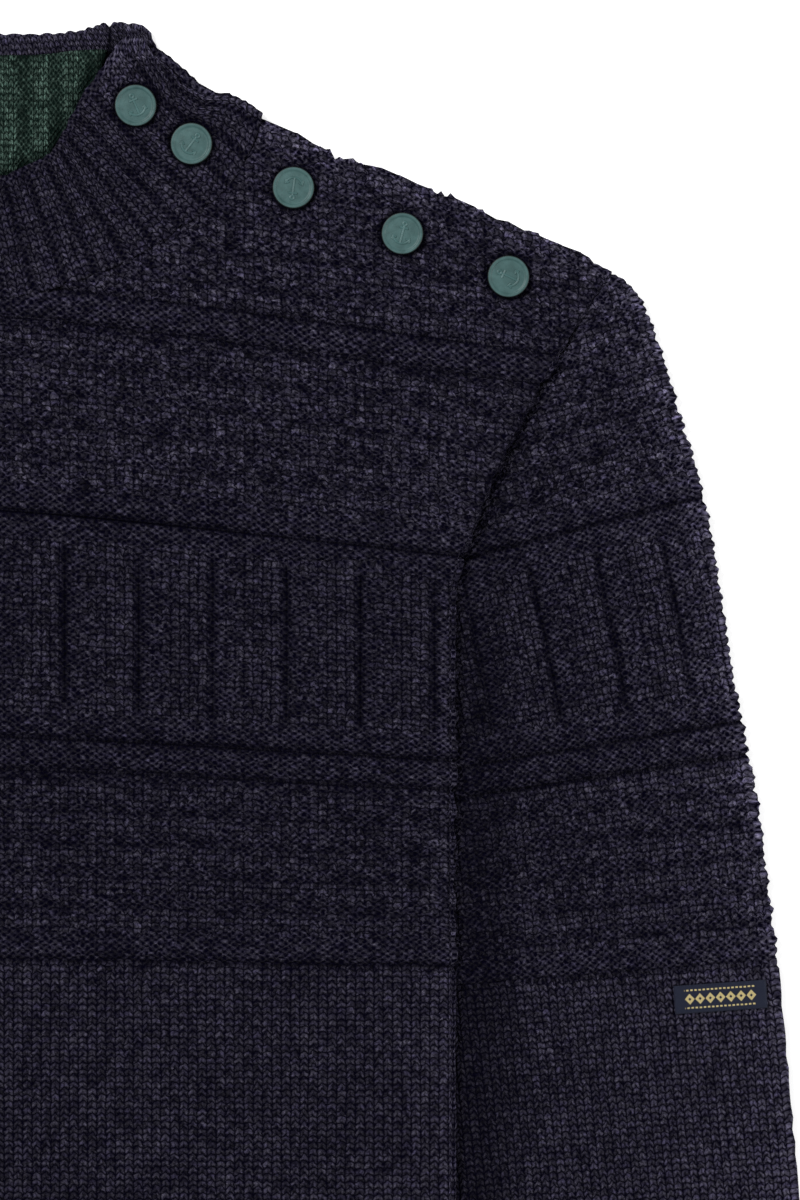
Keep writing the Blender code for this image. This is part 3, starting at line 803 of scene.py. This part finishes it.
halfCourse = stitch["course"] / 2
fineRows = np.arange(-14, 334, halfCourse)
frontRows = np.append(fineRows, np.linspace(fineRows[-1] + 4, cut["hemDrop"], 54))
frontColumns = withEnds(columnsFor(bodyBands, -149, 147, stitch["waleFrom"]), cut["tipHalf"])
backRows = np.append(np.arange(-14, 334, halfCourse * 2), np.linspace(338, cut["hemDrop"], 30))
backColumns = withEnds((np.arange(-75, 75) + 0.5) * stitch["wale"], cut["tipHalf"])
hemRows = cut["hemDrop"] + np.linspace(0, cut["seam"] + cut["hemDeep"], 28)
hemColumns = withEnds(np.arange(-114, 115) * stitch["wale"] / 2, 210)
front = bodyPanel("front", frontColumns, frontRows, True, bodyPattern)
back = bodyPanel("back", backColumns, backRows, False, bodyPattern)
hemFront = bodyPanel("hem_front", hemColumns, hemRows, True, hemPattern)
hemBack = bodyPanel("hem_back", hemColumns, hemRows, False, hemPattern)


# sleeves and cuffs
sleeveLook = {
    # how the bands slope and shift, by drop, and where they turn at the top and at the cuff
    "slope": ((60, 158, 245, 335, 501), (-0.34, -0.265, -0.165, -0.08, -0.098)),
    "shift": ((60, 158, 245, 335, 501), (-42, -16.5, 0, 10, 25.6)),
    "middle": (270, 291.8), "middleSpan": (335, 166),
    # the painted shade in the hollow beside the body, by the distance from it
    "hollow": ((-6, 0, 4, 10, 16, 22, 30, 38), (0.3, 0.45, 0.78, 0.84, 0.64, 0.46, 0.16, 0)),
    "hollowDeep": 0.92, "hollowSpan": (178, 44),
    # the shade beside the armhole seam: how deep, how far from the seam and how wide, by drop
    "seamDrop": (84, 96, 108, 120, 131, 143, 155, 166, 178, 190, 202),
    "seamDeep": (0, 0.18, 0.26, 0.6, 0.7, 0.55, 0.55, 0.38, 0.3, 0.42, 0.55),
    "seamAway": (0.5, 0.5, 0.8, 1.2, 1.8, 2.6, 3.6, 4.4, 3.2, 1.2, 1.2),
    "seamWide": (6, 6, 6, 6.5, 8, 15, 23, 16, 12, 20, 20),
    "seamHollow": ((-0.25, 0, 0.2, 0.45, 0.75, 1, 1.3), (0.1, 0.9, 1, 0.75, 0.55, 0.2, 0)),
    # a soft painted shadow on the cap: x, drop, reach and depth
    "capShade": (263, 128, 15, 0.17),
    # light on the outer edge, by the distance from it, with more of it above the underarm
    "glow": ((2.8, 5, 9, 14, 30, 60, 90), (1.6, 1.15, 0.85, 0.65, 0.42, 0.15, 0)),
    "upperGlow": ((2.8, 5, 9, 13), (1.15, 0.6, 0.2, 0)), "upperSpan": (262, 40),
    # the outer fold: how full it is by drop, the bands' scallops, its turns and how the bumps fade under it
    "fuller": ((110, 128, 150, 172, 195, 225, 268, 292), (0, 0.55, 0.45, 0, 0.6, 0.8, 0.9, 0)),
    "scallop": 13.4, "scallopTo": 336, "turns": (67.5, 45, 22.5, 0, -22.5, -45, -67.5),
    "fade": (1, 1, 1, 1, 0.75, 0.35, 0.1),
}
sleeveCreases = (
    (228, 190, 120, 8, 1, 6), (246, 150, 70, 7, 0.9, -16),
    (300, 210, 120, 13, 0.7, 14), (236, 300, 110, 9, 0.8, 10),
    (285, 400, 120, 13, 1.1, 24), (262, 470, 60, 9, 1.1, -30),
    (318, 450, 80, 10, 0.8, 8),
)


def sleeveShade(x, drop, shade):
    # painted shade in the hollow beside the body and beside the seam, a painted shadow on the cap, and a painted
    # highlight along the outer edge
    look = sleeveLook
    fromBody = x - armholeHalf(drop)
    deep, away, wide = (np.interp(drop, look["seamDrop"], look[key])
                        for key in ("seamDeep", "seamAway", "seamWide"))
    seamSide = deep * np.interp((fromBody - away) / wide, *look["seamHollow"])
    bodySide = look["hollowDeep"] * through(fromBody, *look["hollow"])
    hollow = mix(seamSide, bodySide, rising(drop, *look["hollowSpan"]))
    capX, capDrop, capReach, capDeep = look["capShade"]
    shade = shade + capDeep * np.exp(-((x - capX) ** 2 + (drop - capDrop) ** 2) / capReach**2)
    fromEdge = sleeveOuter(drop) - x
    upper = 1 - rising(drop, *look["upperSpan"])
    glow = through(fromEdge, *look["glow"]) + np.interp(fromEdge, *look["upperGlow"]) * upper
    return darker(shade, hollow) - glow * (1 - np.clip(shade, 0, 1))


def sleeveRelief(x, drop, straight, relief):
    # the bands stand out in a scalloped line at the outer fold
    reach = sleeveOuter(drop) - foldReach - x
    scallop = np.abs(np.sin(pi * straight / sleeveLook["scallop"])) - 0.55
    patterned = 1 - rising(straight, sleeveLook["scallopTo"], 3)
    bumps = mix(0.2, 0.5, rising(straight, 240, 20)) * scallop * patterned
    bumps = bumps + mix(0.6, 1.3, patterned) * (ragged(straight + 40, 3.7) - 0.8)
    bumps = bumps + np.interp(drop, *sleeveLook["fuller"])
    return relief * mix(0.4, 1, ease(reach / 6)) + bumps * (1 - ease(reach / 5))


def makeSleeve(name, mirrored):
    look = sleeveLook
    rows = np.append(np.arange(62.5, 340, halfCourse), np.linspace(343, cut["sleeveEnd"], 34))
    level = rows[:, None]
    slope, shift = through(level, *look["slope"]), through(level, *look["shift"])
    middle = mix(*look["middle"], rising(level, *look["middleSpan"]))

    def layer(columns):
        x = columns + shift
        for turn in range(6):
            drop = level + slope * (x - middle)
            if turn < 5:
                under = 1.5 * rising(drop, 125, 20) * (1 - rising(drop, 200, 30))
                start = sleeveInner(drop) - 0.45 - under + foldReach * foldShare(drop, "underarm")
                x = np.maximum(np.minimum(columns + shift, sleeveOuter(drop) - foldReach), start)
        return x, drop

    underarmRow = int(np.argmax(layer(np.array([90]))[1][:, 0] > cut["underarm"]))
    allColumns = np.append(90, columnsFor(sleeveBands, 77, 221, stitch["sleeveFrom"]))
    strips = []
    for upper, step in ((True, 1), (False, 2)):
        x, drop = layer(np.append(allColumns[::step], 380))
        straight = level * np.ones_like(x)
        across = x - shift - stitch["sleeveFrom"]
        relief, purl, shade, rough = knitBands(across, straight, sleeveBands)
        relief = sleeveRelief(x, drop, straight, relief)
        relief = relief + creased(x, drop, sleeveCreases) if upper else np.minimum(relief - 0.35, 0)
        rise = sleeveHeight(x, drop) + halfWall + (cut["layer"] if upper else 0)
        sewn = x - sleeveInner(drop) + 20 * foldShare(drop, "underarm")
        up = surfaceNormal(x, drop, sleeveHeight) * (1 if upper else -1)
        made = strip(place(x, drop, rise), up, across / sleeveBands["wale"], straight / stitch["course"],
                     every(x.shape[1], 4 // step), relief=relief, purl=purl, shade=sleeveShade(x, drop, shade),
                     rough=rough, out=roundedEdge(np.minimum(sewn, cut["sleeveEnd"] - straight)))
        share = foldShare(drop[:, 0], "underarm")
        strips += tubeLayer(made, upper, x, drop, rise, cut["layer"] / 2 * share, slope, look["turns"],
                            look["fade"], halfWall * np.maximum(share, 0.02))
    return clothWall(name, joined(strips), navyWool, 4, (underarmRow,), underarmRow, mirrored=mirrored)


sleeveLeft = makeSleeve("sleeve_left", False)
sleeveRight = makeSleeve("sleeve_right", True)


def makeCuff(name, mirrored):
    along = np.linspace(0, cut["cuffDeep"], 32)[:, None]
    across = np.linspace(-1, 1, 57)
    end, slope = cut["sleeveEnd"], -tan(cut["sleeveTilt"])
    centre = float(sleeveInner(end) + sleeveOuter(end)) / 2 + along * sin(cut["sleeveTilt"])
    x = centre + across * (mix(cut["cuffHalf"], cut["cuffEndHalf"], ease(along / 18)) - foldReach)
    drop = end + along * cos(cut["sleeveTilt"]) + (x - centre) * slope
    wales = across * 13
    relief, hidden, purl, shade = ribShades(wales)
    ends = roundedEdge(np.minimum(along, cut["cuffDeep"] - along))
    strips = []
    for upper in (True, False):
        rise = halfWall + (cut["layer"] if upper else 0)
        made = strip(place(x, drop, rise), (0, 0, 1 if upper else -1), wales, along / stitch["course"],
                     every(x.shape[1], 4), relief=relief if upper else hidden, purl=purl, shade=shade, out=ends)
        strips += tubeLayer(made, upper, x, drop, rise, cut["layer"] / 2, slope, (60, 30, 0, -30, -60))
    return clothWall(name, joined(strips), navyWool, sewnFrom=0, mirrored=mirrored)


cuffLeft = makeCuff("cuff_left", False)
cuffRight = makeCuff("cuff_right", True)


# collar, its green facing and the stand
collarLook = {
    "ribs": 13, "perRib": 9, "ribPitch": 3.7, "height": 6, "arch": 5, "archSpread": 0.78, "fold": 3,
    # the buttoned end hangs in a shallow hollow between its two buttons
    "sag": ((0, 0.118, 0.295, 0.386, 0.487, 0.63, 0.795, 0.92, 1), (0, -0.2, 1.6, 5, 6.7, 6.4, 3.6, 2.9, 0)),
    "sagX": 0.597, "sagDrop": 0.802, "sagSpan": (100, 31.4),
    # where the back rim is parted
    "slit": 72.2, "parted": 1.4,
    # the top of the ribs for each place along the neckline: place, x, drop
    "front": ((0, 26, 50, 72, 92, 109, 121, 128, 131.4), (0, 18.5, 35.5, 49.5, 55.5, 63, 71.5, 79.5, 88.4),
              (30, 28.3, 23.5, 16, 6, -8.5, -26, -35.4, -32)),
    # the buttoned end of the front stands lower than the rim behind it
    "frontOpen": ((0, 26, 50, 72, 92, 109, 117, 123, 128, 131.4),
                  (0, 18.5, 35.5, 49.5, 55.5, 63, 69.6, 74.5, 79.8, 86.8),
                  (30, 28.3, 23.5, 16, 6, -8.5, -17.6, -25.2, -29.2, -27.2)),
    "back": ((0, 36, 70, 84, 100, 112, 121, 128, 131.4), (0, 27, 53, 61.5, 68.5, 74.5, 80.2, 85.2, 88.4),
             (-30, -30.3, -30.8, -32.1, -34.3, -35, -34.2, -33.3, -30.4)),
    # painted highlight on the upper edge, outside and inside, by the distance below it; an even highlight over the
    # collar, and more at the corner and the side ends
    "edgeGlow": ((0, 2.5, 6, 14), (1.5, 1.1, 0.6, 0)), "inGlow": ((0, 2.5, 6, 14), (1.5, 0.75, 0.65, 0.5)),
    "glow": 0.25, "cornerGlow": (1.7, 0.9), "cornerX": 68, "cornerEnd": 86, "sideGlow": 1.4,
}


def collarRibs(side, depth):
    # each rib's base and top, evenly spaced along the neckline from its middle to its end
    base, topX, topY = collarLook[side]
    fine = np.linspace(0, cut["neckHalf"], 1500)
    fineY = neckDrop(fine, depth) - cut["shoulderStep"] * rising(fine, 121, 10.4)
    run = np.append(0, np.cumsum(np.hypot(np.diff(fine), np.diff(fineY))))
    wanted = np.linspace(0, run[-1], collarLook["ribs"] * collarLook["perRib"] + 1)
    bx, by = np.interp(wanted, run, fine), np.interp(wanted, run, fineY)
    tx, ty = through(bx, base, topX), through(bx, base, topY)
    length = np.hypot(tx - bx, ty - by)
    bx, by = bx - (tx - bx) / length * 0.5, by - (ty - by) / length * 0.5
    uneven = 0.8 * (ragged(wanted * 0.8 + depth) - 0.6)
    return bx, by, tx + (tx - bx) / length * uneven, ty + (ty - by) / length * uneven


def makeCollar():
    look = collarLook
    up = np.linspace(0, 1, 40)[:, None]
    bx, by, tx, ty = collarRibs("front", cut["frontNeck"])
    hx, hy, sx, sy = collarRibs("back", cut["backNeck"])
    openTx, openTy = collarRibs("frontOpen", cut["frontNeck"])[2:]
    count = len(bx)
    turn = np.array([by[-1] - ty[-1], bx[-1] - tx[-1]])
    turn = turn / np.linalg.norm(turn)
    inset = turn * (look["fold"] + halfWall)
    pull = ease((np.arange(count) - (count - 12)) / 11)
    arched = np.clip(1 - (bx / cut["neckHalf"] / look["archSpread"]) ** 2, 0, 1)
    rise = look["height"] + halfWall + look["arch"] * up**2 * arched
    closed = place(mix(bx, tx, up), mix(by, ty, up), rise)
    buttoned = place(mix(bx, openTx, up), mix(by, openTy, up), rise)
    behind = place(mix(hx, sx, up), mix(hy, sy, up), halfWall)
    sag = through(up, *look["sag"]) - 0.8 * (ragged(up * 53, 3.7) - 0.7) * ease(up / 0.1)
    for grid, base in ((closed, bx), (buttoned, bx), (behind, hx)):
        near = rising(base, *look["sagSpan"])
        grid[..., 0] -= look["sagX"] * sag * near
        grid[..., 1] -= look["sagDrop"] * sag * near

    def mirror(grid):
        other = grid.copy()
        other[..., 0] = -other[..., 0] + inset[0] * pull
        other[..., 1] = other[..., 1] - inset[1] * pull
        return other

    parted = behind.copy()
    parted[..., 1] -= look["parted"] * up * hump(sx - look["slit"], 1.6)
    bend = []
    for a in (radians(60), radians(30), 0, radians(-30), radians(-60)):
        spot = mirror(closed)[:, -1]
        spot[:, 0] -= turn[0] * look["fold"] * cos(a)
        spot[:, 1] += turn[1] * look["fold"] * cos(a)
        spot[:, 2] = halfWall + look["fold"] * (1 + sin(a))
        bend.append(spot)
    at = np.concatenate([buttoned[:, ::-1], mirror(closed)[:, 1:], np.stack(bend, 1), mirror(behind)[:, ::-1],
                         parted[:, 1:]], 1)
    x, y, columns = at[..., 0], at[..., 1], np.arange(at.shape[1])
    isBack = columns > 2 * count
    q = np.arange(count) / look["perRib"]
    backFrom = 2 * q[-1] + 0.8
    bent = q[-1] + np.array([0.12, 0.25, 0.4, 0.55, 0.68])
    phase = np.concatenate([-q[::-1], q[1:], bent, backFrom - q[::-1], backFrom + q[1:]]) * look["ribPitch"]
    relief, purl, shade = ribBands(phase + 1.5, 3, 0.7)
    relief = np.where(isBack, np.minimum(relief - 0.75, 0), relief * 1.1)
    tall = np.hypot(x[0] - x[-1], y[0] - y[-1])
    along = up * tall
    fromTop = tall - along
    # the ribs run into a plump cast-off edge at the top
    fade = rising(fromTop, 1.5, 2.5)
    bead = 0.7 * hump(fromTop - 1.6, 2) * ~isBack
    # light on the upper edge, shade in the slit and round the buttons
    upperEdge = through(fromTop, *look["edgeGlow"])
    slit = hump(x - look["slit"], 1.1) * isBack
    atCorner = ease((x - look["cornerX"]) / 8) * ease((y - cut["middleDrop"]) / 8)
    nearCorner = atCorner * (1 - ease((x - look["cornerEnd"]) / 12)) * ease((14 - fromTop) / 6)
    onRim, onCorner = look["cornerGlow"]
    sideEnds = np.minimum(columns, columns[::-1]) * 1.2
    glow = look["glow"] + np.where(isBack, upperEdge, onRim * upperEdge * atCorner + onCorner * nearCorner)
    glow = glow + look["sideGlow"] * (1 - ease(sideEnds / 5))
    inGlow = np.where(isBack, through(fromTop, *look["inGlow"]), 0) * (1 - slit)
    under = underButtons(x, cut["middleDrop"] - y, True) * ~isBack
    made = strip(at, latticeNormal(at), phase, -along / stitch["course"],
                 every(2 * count + 4, 4) + list(range(2 * count + 5, len(columns))),
                 relief=relief * fade + bead - 0.4 * under, purl=np.maximum(purl * fade, 1 - fade),
                 shade=darker(shade * fade, under) - glow * (1 - slit) * (1 - under) + 2 * slit,
                 out=roundedEdge(np.minimum(np.minimum(along + 1.1, fromTop), sideEnds)),
                 inRelief=np.where(isBack, -0.35 * relief, 0) - 0.9 * slit, inGlow=inGlow)
    return clothWall("collar", made, navyWool, 1)


collar = makeCollar()
facingLook = {"baseHalf": 60, "topHalf": 71.2, "topDrop": -24.5, "topDip": 2.2, "wale": 3.1, "wall": 1}


def makeFacing():
    look = facingLook
    up = np.linspace(1, 0, 46)[:, None]
    share = np.linspace(-1, 1, 145)
    base = neckDrop(share * look["baseHalf"], cut["backNeck"]) - cut["seam"]
    x = share * mix(look["baseHalf"], look["topHalf"], up)
    topEdge = look["topDrop"] + look["topDip"] * (1 - rising(np.abs(x), 40, 26))
    drop = mix(base, topEdge, up)
    wales = x / look["wale"]
    relief, purl, shade = ribBands(wales + 2.4, 2, 2)
    # painted shade: the shadow of the rim in front of it, at its far ends and along its top
    rimX, rimDrop = collarRibs("frontOpen", cut["frontNeck"])[2:]
    away = np.min(np.hypot(x[..., None] - rimX, drop[..., None] - rimDrop), -1)
    shade = 0.6 * shade + 0.6 * (1 - ease(away / 6)) + 0.7 * rising(np.abs(x), 65.5, 3)
    shade = shade + 0.5 * (1 - ease((drop - topEdge) / 4)) * (1 - rising(x, 44, 8))
    at = place(x, drop, cut["layer"] + look["wall"])
    return patch("collar_facing", at, wales * 1.6, drop / stitch["course"], 4, greenWool, relief=relief * 0.7,
                 purl=purl, shade=shade, ins=look["wall"],
                 out=roundedEdge(np.minimum(drop - topEdge, base - drop), look["wall"]))


facing = makeFacing()
standLook = {
    # the outer and the inner edge, by the share of the way from the collar to the armhole
    "outShare": (0, 0.045, 0.13, 0.27, 1), "outX": (88, 95, 108, 129.5, 242),
    "outDrop": (-26.5, -22.2, -10.9, 1.2, 51),
    "inShare": (0, 0.27, 1), "inX": (70, 113, 228), "inDrop": (2.5, 34, 83),
    "long": 170, "wide": 33, "ribs": 10, "courses": 65, "wall": (1.2, 1),
}


def makeStand():
    look = standLook
    t = np.linspace(0, 1, 100)[:, None]
    share = np.linspace(0, 1, 20)
    outX, outDrop = (through(t, look["outShare"], look[key]) for key in ("outX", "outDrop"))
    inX, inDrop = (through(t, look["inShare"], look[key]) for key in ("inX", "inDrop"))
    outDrop = outDrop - 0.9 * (ragged(t * look["long"], 3.7) - 0.7)
    outDrop = np.where(outX > cut["neckHalf"], np.maximum(outDrop, shoulderDrop(outX) + 1.6), outDrop)
    outWall, inWall = look["wall"]
    at = place(mix(inX, outX, share), mix(inDrop, outDrop, share), cut["layer"] + outWall)
    wales = share * look["ribs"]
    relief, purl, shade = ribBands(wales, 1, 1)
    ends = np.minimum(fromEnds(t) * look["long"], fromEnds(share) * look["wide"])
    # painted shade in the rib hollows, and a painted highlight along the outer edge
    return patch("button_stand", at, wales, t * look["courses"], 4, navyWool, relief=relief * 0.25, purl=purl,
                 shade=shade * 0.4 - 1.2 * rising(share, 0.8, 0.2), out=roundedEdge(ends, outWall), ins=inWall)


stand = makeStand()


# buttons
def resinMaterial(name, tone):
    w = Wiring(name)
    spot = w.node("ShaderNodeTexCoord", output="Object")
    cloud, speck = w.noise(spot, 260, 3, 0.6), w.noise(spot, 1900, 2, 0.6)
    deep, clear, grain = (tuple(tone * c for c in dye) + (1,) for dye in buttonLook["dyes"])
    body = w.colour(deep, clear, w.ramp(cloud, 0.35, 0.65))
    return w.finish(w.colour(body, grain, w.ramp(speck, 0.62, 0.78)),
                    {"Roughness": speck * 0.3 + 0.34, "Specular IOR Level": 0.35}, speck, 0.06)


# one resin as it is, a dark copy as painted shade on the rim, and a light copy as a painted highlight on the anchor
buttonFinishes = [resinMaterial("buttonResin", 1), resinMaterial("buttonRimPaintedShade", 0.12),
                  resinMaterial("buttonAnchorPaintedLight", 1.2)]


def anchorStrokes():
    # a plain anchor in strokes, in mm on the button's face, each with whether it closes
    ring = [(0.75 * cos(a), 3.9 + 0.75 * sin(a)) for a in np.linspace(0, 2 * pi, 16, endpoint=False)]
    arms = [(3.5 * sin(a), -0.5 - 3.4 * cos(a)) for a in np.linspace(-1.15, 1.15, 15)]
    strokes = [(ring, True), ([(0, 3.1), (0, -3.9)], False), ([(-1.7, 2.2), (1.7, 2.2)], False), (arms, False)]
    for s in (-1, 1):
        fluke = [(s * (3.5 * sin(1.15) + dx), -0.5 - 3.4 * cos(1.15) + dy)
                 for dx, dy in ((-1.15, -0.05), (0.1, 0.5), (0.25, -1))]
        strokes.append((fluke, False))
    return strokes


def inEdit(*steps):
    # runs edit steps on the active object, each with its settings
    bpy.ops.object.mode_set(mode="EDIT")
    for step, settings in steps:
        step(**settings)
    bpy.ops.object.mode_set(mode="OBJECT")


def makeDisc(name):
    look = buttonLook
    bpy.ops.object.select_all(action="DESELECT")
    bpy.ops.mesh.primitive_cylinder_add(vertices=64, radius=look["radius"] * mm, depth=look["thick"] * mm,
                                        location=(0, 0, look["thick"] * mm / 2))
    disc = bpy.context.object
    disc.name = name + "_disc"
    inEdit((bpy.ops.mesh.select_all, {"action": "DESELECT"}))
    for face in disc.data.polygons:
        face.select = face.normal.z > 0.9
    insets = ((look["rim"], 0), (0.5, -look["dish"]), (0.9, 0.08))
    inEdit(*[(bpy.ops.mesh.inset, {"thickness": wide * mm, "depth": deep * mm}) for wide, deep in insets])
    bevel = disc.modifiers.new("edges", "BEVEL")
    bevel.width, bevel.segments, bevel.limit_method, bevel.angle_limit = 0.8 * mm, 4, "ANGLE", radians(25)
    bpy.ops.object.modifier_apply(modifier="edges")
    return disc


def makeAnchor(name):
    curve = bpy.data.curves.new(name + "_anchor", "CURVE")
    curve.dimensions = "3D"
    curve.bevel_depth, curve.bevel_resolution, curve.use_fill_caps = 0.5 * mm, 2, True
    face = buttonLook["thick"] - buttonLook["dish"] - 0.02
    for points, closed in anchorStrokes():
        spline = curve.splines.new("POLY")
        spline.points.add(len(points) - 1)
        spline.use_cyclic_u = closed
        for spot, (px, py) in zip(spline.points, points):
            spot.co = (px * mm, py * mm, face * mm, 1)
    anchor = addObject(name + "_anchor", curve)
    bpy.ops.object.select_all(action="DESELECT")
    anchor.select_set(True)
    bpy.context.view_layer.objects.active = anchor
    bpy.ops.object.convert(target="MESH")
    inEdit((bpy.ops.mesh.select_all, {"action": "SELECT"}), (bpy.ops.mesh.remove_doubles, {"threshold": 0.00001}))


def makeButton(name, x, drop, onCollar, degrees):
    disc = makeDisc(name)
    discFaces = len(disc.data.polygons)
    makeAnchor(name)
    disc.select_set(True)
    bpy.context.view_layer.objects.active = disc
    bpy.ops.object.join()
    disc.data.materials.clear()
    for finish in buttonFinishes:
        disc.data.materials.append(finish)
    # the rim takes the painted shade, the anchor the painted highlight
    for number, face in enumerate(disc.data.polygons):
        rimward = (face.center.x**2 + face.center.y**2) ** 0.5 > (buttonLook["radius"] - 0.6) * mm
        face.material_index = 1 if rimward else 2 if number >= discFaces else 0
    under = collarLook["height"] if onCollar else float(frontHeight(np.array(x), np.array(drop)))
    disc.rotation_euler = (radians(1.5), radians(-1), radians(degrees))
    disc.location = (x * mm, (cut["middleDrop"] - drop) * mm, (under + cut["wall"] + buttonLook["onCloth"]) * mm)
    bpy.ops.object.transform_apply(location=True, rotation=True, scale=True)
    bpy.ops.object.shade_smooth_by_angle(angle=radians(38))
    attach(disc, "root")
    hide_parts(name)


for spec in buttonPlaces:
    makeButton(*spec)
print("buttons made")


# woven tab on the sleeve
tabLook = {
    "x": 310, "drop": 344.4, "tilt": radians(4), "long": 36, "wide": 11, "under": 6, "wall": 0.4,
    "ground": ((0.004, 0.0065, 0.021, 1), (0.011, 0.0155, 0.04, 1)),
    "gold": ((0.42, 0.33, 0.13, 1), (0.72, 0.6, 0.3, 1)),
}


def tabMaterial():
    w = Wiring("tabWeave")
    u, v = w.stitches()[1:]
    # u runs 0 to 36 and v 0 to -11 mm; a row of diamonds between two dashed lines
    fromMiddle = (v + 5.5).math("ABSOLUTE")
    fromCell = (u.math("DIVIDE", 4).math("FRACT") - 0.5).math("ABSOLUTE")
    diamond = (fromCell * 4 + fromMiddle * 0.9).within(1.25, 0.66)
    dash = u.math("DIVIDE", 1.6).math("FRACT").math("LESS_THAN", 0.6)
    gold = diamond.math("MAXIMUM", fromMiddle.within(3.4, 0.32) * dash) * u.within(18, 14)
    weave = (u * (2 * pi / 0.34)).math("SINE") * (v * (2 * pi / 0.3)).math("SINE") * 0.5 + 0.5
    thread = w.noise(w.vector(u, v * 6), 1.4, 2, 0.6)
    colour = w.colour(w.colour(*tabLook["ground"], weave), w.colour(*tabLook["gold"], thread), gold)
    return w.finish(colour, {"Roughness": 0.62, "Sheen Weight": 0.02, "Specular IOR Level": 0.3},
                    weave + gold, 0.12)


def makeTab():
    down = np.linspace(0, 1, 16)[:, None]
    across = np.linspace(0, 1, 44)
    long, wide, tilt = tabLook["long"], tabLook["wide"], tabLook["tilt"]
    px, py = (across - 0.5) * long, (0.5 - down) * wide
    x = tabLook["x"] + px * cos(tilt) - py * sin(tilt)
    drop = tabLook["drop"] - px * sin(tilt) - py * cos(tilt)
    ends = np.minimum(fromEnds(across) * long, fromEnds(down) * wide)
    soft = 0.12 * np.sin(px * 1.1 + 1) * np.sin(py * 0.9) + 0.2 * ease(ends / 2.5)
    at = place(x, drop, tabLook["under"] + tabLook["wall"] + soft)
    return patch("sleeve_label", at, px + long / 2, wide / 2 - py, 3, tabMaterial(), ins=tabLook["wall"],
                 out=roundedEdge(ends, tabLook["wall"], 0.2, 0.6))


tab = makeTab()
# camera, table and light
view = {"x": 185.25, "drop": 189.9, "tall": 468, "distance": 3}
studioLook = {
    # the table is lit, so that shadows on it stay faint
    "paper": 0.93, "paperLight": 0.5, "sky": 0.26, "aim": (0.1, 0.05, 0),
    "lamps": (("window", (-1.9, 1.6, 3), 1.2, 118), ("fill", (2.4, -0.4, 2), 1.4, 42)),
}


def makeCamera():
    data = bpy.data.cameras.new("camera")
    data.sensor_width = 36
    data.lens = 18 / (view["tall"] * mm / 2 / view["distance"])
    data.clip_end = 50
    cam = addObject("camera", data)
    cam.location = (view["x"] * mm, (cut["middleDrop"] - view["drop"]) * mm, view["distance"])
    bpy.context.scene.camera = cam


def makeStudio():
    bpy.ops.object.select_all(action="DESELECT")
    bpy.ops.mesh.primitive_plane_add(size=60, location=(0, 0, -0.0005))
    table = bpy.context.object
    table.name = "table"
    table.data.materials.append(Wiring("paper").finish((*[studioLook["paper"]] * 3, 1), {
        "Roughness": 0.9, "Specular IOR Level": 0.1, "Emission Color": (1, 1, 1, 1),
        "Emission Strength": studioLook["paperLight"]}))
    world = bpy.data.worlds.new("studio")
    world.use_nodes = True
    sky = world.node_tree.nodes["Background"]
    feed(sky.inputs[0], (1, 1, 1, 1))
    feed(sky.inputs[1], studioLook["sky"])
    bpy.context.scene.world = world
    for name, at, size, power in studioLook["lamps"]:
        data = bpy.data.lights.new(name, "AREA")
        data.size = size
        data.energy = power
        lamp = addObject(name, data)
        lamp.location = at
        lamp.rotation_euler = (Vector(studioLook["aim"]) - Vector(at)).to_track_quat("-Z", "Y").to_euler()
        lamp.visible_camera = False
    bpy.context.scene.view_settings.view_transform = "Standard"


makeCamera()
makeStudio()
print("camera and studio made")
